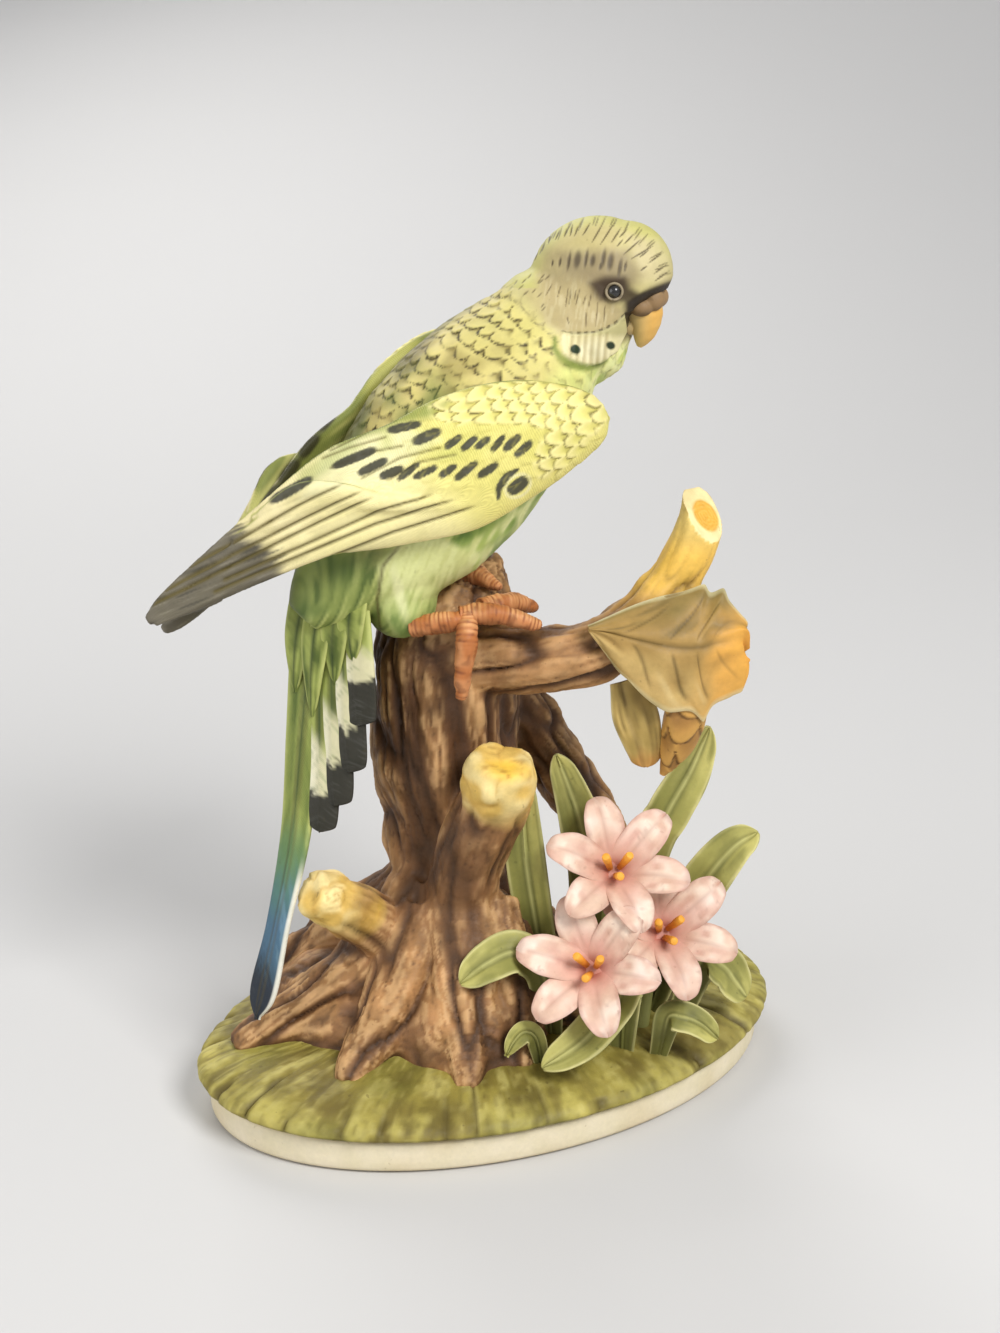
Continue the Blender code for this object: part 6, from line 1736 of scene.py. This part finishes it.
# The lily leaves: points above the ground in millimetres, and the share of the width at each
LILY_LEAVES = [
    ([(12, -8.5, -2), (9.5, -9.5, 17), (7, -10, 34),
      (6.2, -9.6, 44.5), (6.4, -9, 52.5)], (0.5, 0.75, 0.85, 0.72, 0.42)),
    ([(18, -2, -2), (19.5, -3, 28), (18, -2.4, 38.5),
      (15.5, -2, 47), (12.7, -2, 54.5)], (0.5, 0.9, 0.95, 0.75, 0.45)),
    ([(26, -2, -2), (31, -4.5, 34), (34.9, -4, 43.5),
      (39, -4, 52), (42.4, -4, 61.2)], (0.5, 0.9, 1.0, 0.88, 0.50)),
    ([(32, -5, -2), (38.5, -8, 21), (42.5, -7, 29),
      (48, -6, 36), (52.8, -6, 39.5)], (0.5, 0.95, 1.05, 0.88, 0.50)),
    ([(12, -15, -2), (10.2, -17.8, 14), (5, -20.5, 20.3),
      (-0.5, -22.2, 19), (-6, -24, 15.5)], (0.5, 0.75, 0.95, 0.88, 0.50)),
    ([(26, -19, -2), (25.8, -20.5, 11), (23.5, -25, 10.5),
      (17.5, -30, 6), (9.8, -33, 2.2)], (0.5, 0.8, 0.9, 0.88, 0.50)),
    ([(38, -6, -2), (42, -8.5, 12.5), (46.2, -8, 11),
      (49, -7, 7), (51.5, -6, 3)], (0.5, 0.85, 1.0, 0.92, 0.52)),
    ([(33, -20, -2), (34.5, -22.5, 7), (37, -23.5, 8),
      (40.5, -23.5, 6.5), (44, -23, 3)], (0.4, 0.6, 0.7, 0.62, 0.42)),
    ([(10, -25, -2), (8.5, -26.5, 5), (6.5, -27.2, 6.8),
      (4.5, -27.5, 5), (3, -27.8, 2)], (0.3, 0.45, 0.5, 0.4, 0.12)),
]
# The way that each lily leaf's broad side faces
LEAF_FACING = [
    (-0.1, -1.0, 0.1), (0.1, -1.0, 0.1), (0.25, -1.0, 0.25), (-0.25, -0.75, 0.6), (-0.1, -0.7, 0.7),
    (-0.2, -0.6, 0.8), (0.2, -0.7, 0.7), (0.1, -0.7, 0.7), (0.0, -0.7, 0.7),
]


def lily_leaf(number):
    line, shares = LILY_LEAVES[number]
    bm = bmesh.new()
    points = [Vector(point) * MM + UP * GROUND for point in line]
    blade(bm, points, [share * LILY_LEAF_WIDTH for share in shares], LEAF_THICKNESS,
          Vector(LEAF_FACING[number]), cup=0.25, steps=16, count=40)
    skin = Skin(new_object(f"lily_leaf_{number + 1}", bm))
    along = skin.mark("along")
    across = skin.mark("across")
    shift = number * 3.7
    streak = grain(np.c_[along * 5 + shift, across * 6, along * 0], 1.0, 81)
    cloud = grain(np.c_[along * 4 + shift, across * 1.3, along * 0], 1.0, 82)
    rib = bell(across, 0.08)
    edge = step(0.78, 0.97, np.abs(across))
    skin.tint("82803f")
    # Painted light on one half of the blade and painted shade on the other, over clouds of tone
    skin.tint("b3ad5f", 0.75 * step(-0.2, 0.7, cloud + across * 0.5))
    skin.tint("585a2c", 0.75 * step(0.0, 0.7, -cloud - 0.3 * across - 0.2))
    skin.tint("c2ba6c", 0.65 * step(0.45, 1.0, along + 0.15 * streak + 0.1 * across))
    skin.tint("4b4a24", 0.65 * fall(0.1, 0.45, along))
    skin.tint("d3cb8d", 0.75 * edge)
    skin.tint("68692f", 0.55 * step(0.1, 0.6, streak))
    skin.tint("c7c480", 0.5 * rib * step(0.1, 0.3, along))
    skin.lift(MM * (-0.28 * np.exp(-((np.abs(across) - 0.12) / 0.07) ** 2) + 0.10 * streak + 0.12 * rib
                    - 0.05))
    skin.groove(0.5 * np.exp(-((np.abs(across) - 0.13) / 0.05) ** 2) * step(0.08, 0.25, along))
    place_piece(skin, LEAF_PAINT, f"lily_leaf_{number + 1}")


# Each lily: name, centre above the ground, the way it faces, first petal's angle, foot of its stem
LILIES = [
    ("upper", (0.0243, -0.0140, 0.0355), (0.10, -0.72, 0.68), 18, (0.0235, -0.0085)),
    ("left", (0.0190, -0.0245, 0.0195), (-0.20, -0.78, 0.60), 6, (0.0195, -0.0135)),
    ("right", (0.0342, -0.0160, 0.0230), (0.23, -0.76, 0.60), 28, (0.0300, -0.0110)),
]


def lily_axes(facing):
    out = Vector(facing).normalized()
    across = out.cross(UP).normalized()
    return out, across, across.cross(out)


def lily(name, centre, facing, first, foot_place):
    out, across, upward = lily_axes(facing)
    middle = Vector((centre[0], centre[1], GROUND + centre[2]))
    bm = bmesh.new()
    for k in range(6):
        angle = math.radians(first + 60 * k)
        ray = across * math.cos(angle) + upward * math.sin(angle)
        under = 0.0006 if k % 2 else 0.0
        line = [middle - out * (0.0040 + under),
                middle + ray * PETAL_LENGTH * 0.20 - out * (0.0016 + under),
                middle + ray * PETAL_LENGTH * 0.58 + out * (0.0022 - under),
                middle + ray * PETAL_LENGTH * 0.84 + out * (0.0030 - under),
                middle + ray * PETAL_LENGTH * 0.97 + out * (0.0024 - under)]
        widths = [share * PETAL_WIDTH for share in (0.42, 0.88, 1.07, 0.76, 0.28)]
        blade(bm, line, widths, PETAL_THICKNESS, out, cup=0.20, steps=13, count=36, number=k)
    root = Vector((foot_place[0], foot_place[1], GROUND - 0.002))
    bend = middle - out * 0.0075
    stem = [(*(middle - out * 0.0022), STEM_RADIUS * 1.3), (*bend, STEM_RADIUS),
            (*((bend + root) / 2 + Vector((0, 0.0015, 0))), STEM_RADIUS), (*root, STEM_RADIUS)]
    tube(bm, stem, steps=10, count=16)
    skin = Skin(new_object(f"lily_{name}", bm))
    along = skin.mark("along")
    place = skin.mark("across")
    number = skin.mark("number")
    points = skin.points.copy()
    off = points - np.array(middle)
    front = off @ np.array(out)
    radius = np.linalg.norm(off - front[:, None] * np.array(out), axis=1)
    stem_part = (along == 0) & (place == 0) & (front < -0.0035)
    streak = grain(np.c_[radius * 500, place * 3, number * 5.3], 1.0, 91)
    dusty = grain(points, 0.0035, 92)
    speckled = grain(points, 0.0007, 93)
    skin.tint("dcbba6")
    skin.tint("ecd8c6", 0.85 * step(0.004, 0.011, radius) * step(-0.3, 0.5, streak + 0.5 * dusty))
    skin.tint("cd9686", 0.75 * fall(0.0025, 0.0085, radius + 0.0015 * streak))
    skin.tint("a9553f", 0.85 * fall(0.0008, 0.0038, radius))
    skin.tint("b18474", 0.60 * step(0.72, 0.97, np.abs(place) + 0.1 * speckled) * step(0.003, 0.008, radius))
    skin.tint("a5786a", 0.50 * step(0.0120, 0.0143, radius + 0.0006 * streak))
    skin.tint("c0907f", 0.45 * step(0.1, 0.7, -streak))
    skin.tint("8f6a5b", 0.35 * step(0.45, 0.8, speckled) * step(0.0, 0.6, dusty))
    skin.tint("dcb9a6", 0.85 * fall(-0.4, 0.1, skin.normals @ np.array(out)))
    skin.tint("8a8a4c", stem_part)
    rib = bell(place, 0.10)
    skin.lift(MM * (~stem_part) * (-0.24 * rib + 0.10 * streak - 0.08) * step(0.001, 0.004, radius))
    skin.groove((~stem_part) * 0.30 * rib * step(0.002, 0.006, radius) * fall(0.010, 0.014, radius))
    place_piece(skin, PETAL_PAINT, f"lily_{name}")


def stamen(name, number, centre, facing):
    out, across, upward = lily_axes(facing)
    middle = Vector((centre[0], centre[1], GROUND + centre[2]))
    angle = math.tau * (number + 0.25) / 3
    lean = across * math.cos(angle) + upward * math.sin(angle)
    start = middle + lean * 0.0011 - out * 0.0014
    tip = start + (out + lean * 0.35).normalized() * STAMEN_LENGTH
    bm = bmesh.new()
    line = [(*start, STAMEN_RADIUS), (*start.lerp(tip, 0.4), STAMEN_RADIUS * 1.15),
            (*start.lerp(tip, 0.72), STAMEN_RADIUS * 1.35), (*start.lerp(tip, 0.95), STAMEN_RADIUS * 1.25),
            (*tip, STAMEN_RADIUS * 0.6)]
    tube(bm, line, steps=8, count=24, marks=True)
    skin = Skin(new_object(f"stamen_{name}_{number + 1}", bm))
    way = skin.mark("along") / STAMEN_LENGTH
    skin.tint("d58a2c")
    skin.tint("e8a63c", 0.8 * step(0.55, 0.8, way))
    skin.tint("a85c1e", 0.7 * fall(0.2, 0.5, way))
    skin.lift(MM * 0.05 * grain(skin.points, 0.0006, 95))
    place_piece(skin, porcelain(f"stamen bisque {name} {number + 1}", "6b3510", mottle=0.12, specks=0.1),
                f"stamen_{name}_{number + 1}")


# The floor, the light and the camera

FLOOR_LENGTH = 4.8
FLOOR_HALF_WIDTH = 2.6
FLOOR_FRONT = -1.8
SWEEP_START = 0.45
SWEEP_RADIUS = 0.75
# Lamps: name, place, size in metres and power in watts
LAMPS = [("key", (0.45, -0.60, 0.75), 0.45, 9.5), ("fill", (-0.75, -0.45, 0.40), 0.8, 3.6),
         ("rim", (-0.25, 0.70, 0.60), 0.6, 3.5)]


def studio():
    """A plain floor that sweeps up into the backdrop, soft lamps, and the viewer's camera."""
    bm = bmesh.new()
    bmesh.ops.create_grid(bm, x_segments=1, y_segments=60, size=1.0)
    for vert in bm.verts:
        way = (vert.co.y + 1) * FLOOR_LENGTH / 2 + FLOOR_FRONT
        bend = min(max((way - SWEEP_START) / SWEEP_RADIUS, 0.0), math.pi / 2)
        rest = max(way - SWEEP_START - SWEEP_RADIUS * math.pi / 2, 0.0)
        vert.co = (vert.co.x * FLOOR_HALF_WIDTH, min(way, SWEEP_START) + SWEEP_RADIUS * math.sin(bend),
                   SWEEP_RADIUS * (1 - math.cos(bend)) + rest)
    bmesh.ops.rotate(bm, verts=bm.verts, matrix=Matrix.Rotation(-FOOT_TURN, 3, "Z"))
    floor = new_object("floor", bm)
    floor.data.shade_smooth()
    paint = bpy.data.materials.new("studio floor")
    paint.use_nodes = True
    shader = paint.node_tree.nodes["Principled BSDF"]
    shader.inputs["Base Color"].default_value = (0.60, 0.59, 0.575, 1)
    shader.inputs["Roughness"].default_value = 0.9
    floor.data.materials.append(paint)
    scene = bpy.context.scene
    world = bpy.data.worlds.new("studio")
    world.use_nodes = True
    world.node_tree.nodes["Background"].inputs["Color"].default_value = (0.93, 0.95, 1.0, 1)
    world.node_tree.nodes["Background"].inputs["Strength"].default_value = 0.42
    scene.world = world
    turn = Matrix.Rotation(-FOOT_TURN, 4, "Z")
    target = Vector((0, 0, 0.085))
    for name, place, size, power in LAMPS:
        lamp = bpy.data.lights.new(name, "AREA")
        lamp.shape = "DISK"
        lamp.size = size
        lamp.energy = power
        item = bpy.data.objects.new(name, lamp)
        scene.collection.objects.link(item)
        item.location = turn @ Vector(place)
        item.rotation_euler = (turn @ (Vector(place) - target)).to_track_quat("Z", "Y").to_euler()
    lens = bpy.data.cameras.new("camera")
    lens.lens = FOCAL / PICTURE_SIZE[1] * SENSOR_WIDTH
    lens.sensor_width = SENSOR_WIDTH
    lens.sensor_fit = "AUTO"
    lens.clip_start = 0.01
    camera = bpy.data.objects.new("camera", lens)
    scene.collection.objects.link(camera)
    camera.matrix_world = turn @ Matrix.Translation(EYE) @ Matrix.Rotation(math.pi / 2 - TILT, 4, "X")
    scene.camera = camera
    scene.view_settings.view_transform = "Standard"


BIRD_PAINT = porcelain("bird bisque", "4f451f", mottle=0.07, specks=0.15, relief=0.00010)
FEATHER_PAINT = porcelain("feather bisque", "4f451f", mottle=0.07, specks=0.15, relief=0.00008,
                          feathered=True)
LEAF_PAINT = porcelain("lily leaf bisque", "3c401c", mottle=0.14, relief=0.00012)
PETAL_PAINT = porcelain("petal bisque", "8f5548", mottle=0.06, specks=0.2, relief=0.00008)

foot()
moss()
stump()
bird_body()
bird_wing(1)
bird_wing(-1)
bird_tail()
bird_feet()
bird_beak()
bird_eyes()
autumn_leaf()
hanging_leaf()
bud()
for number in range(len(LILY_LEAVES)):
    lily_leaf(number)
for entry in LILIES:
    lily(*entry)
for name, centre, facing, _, _ in LILIES:
    for number in range(3):
        stamen(name, number, centre, facing)
studio()
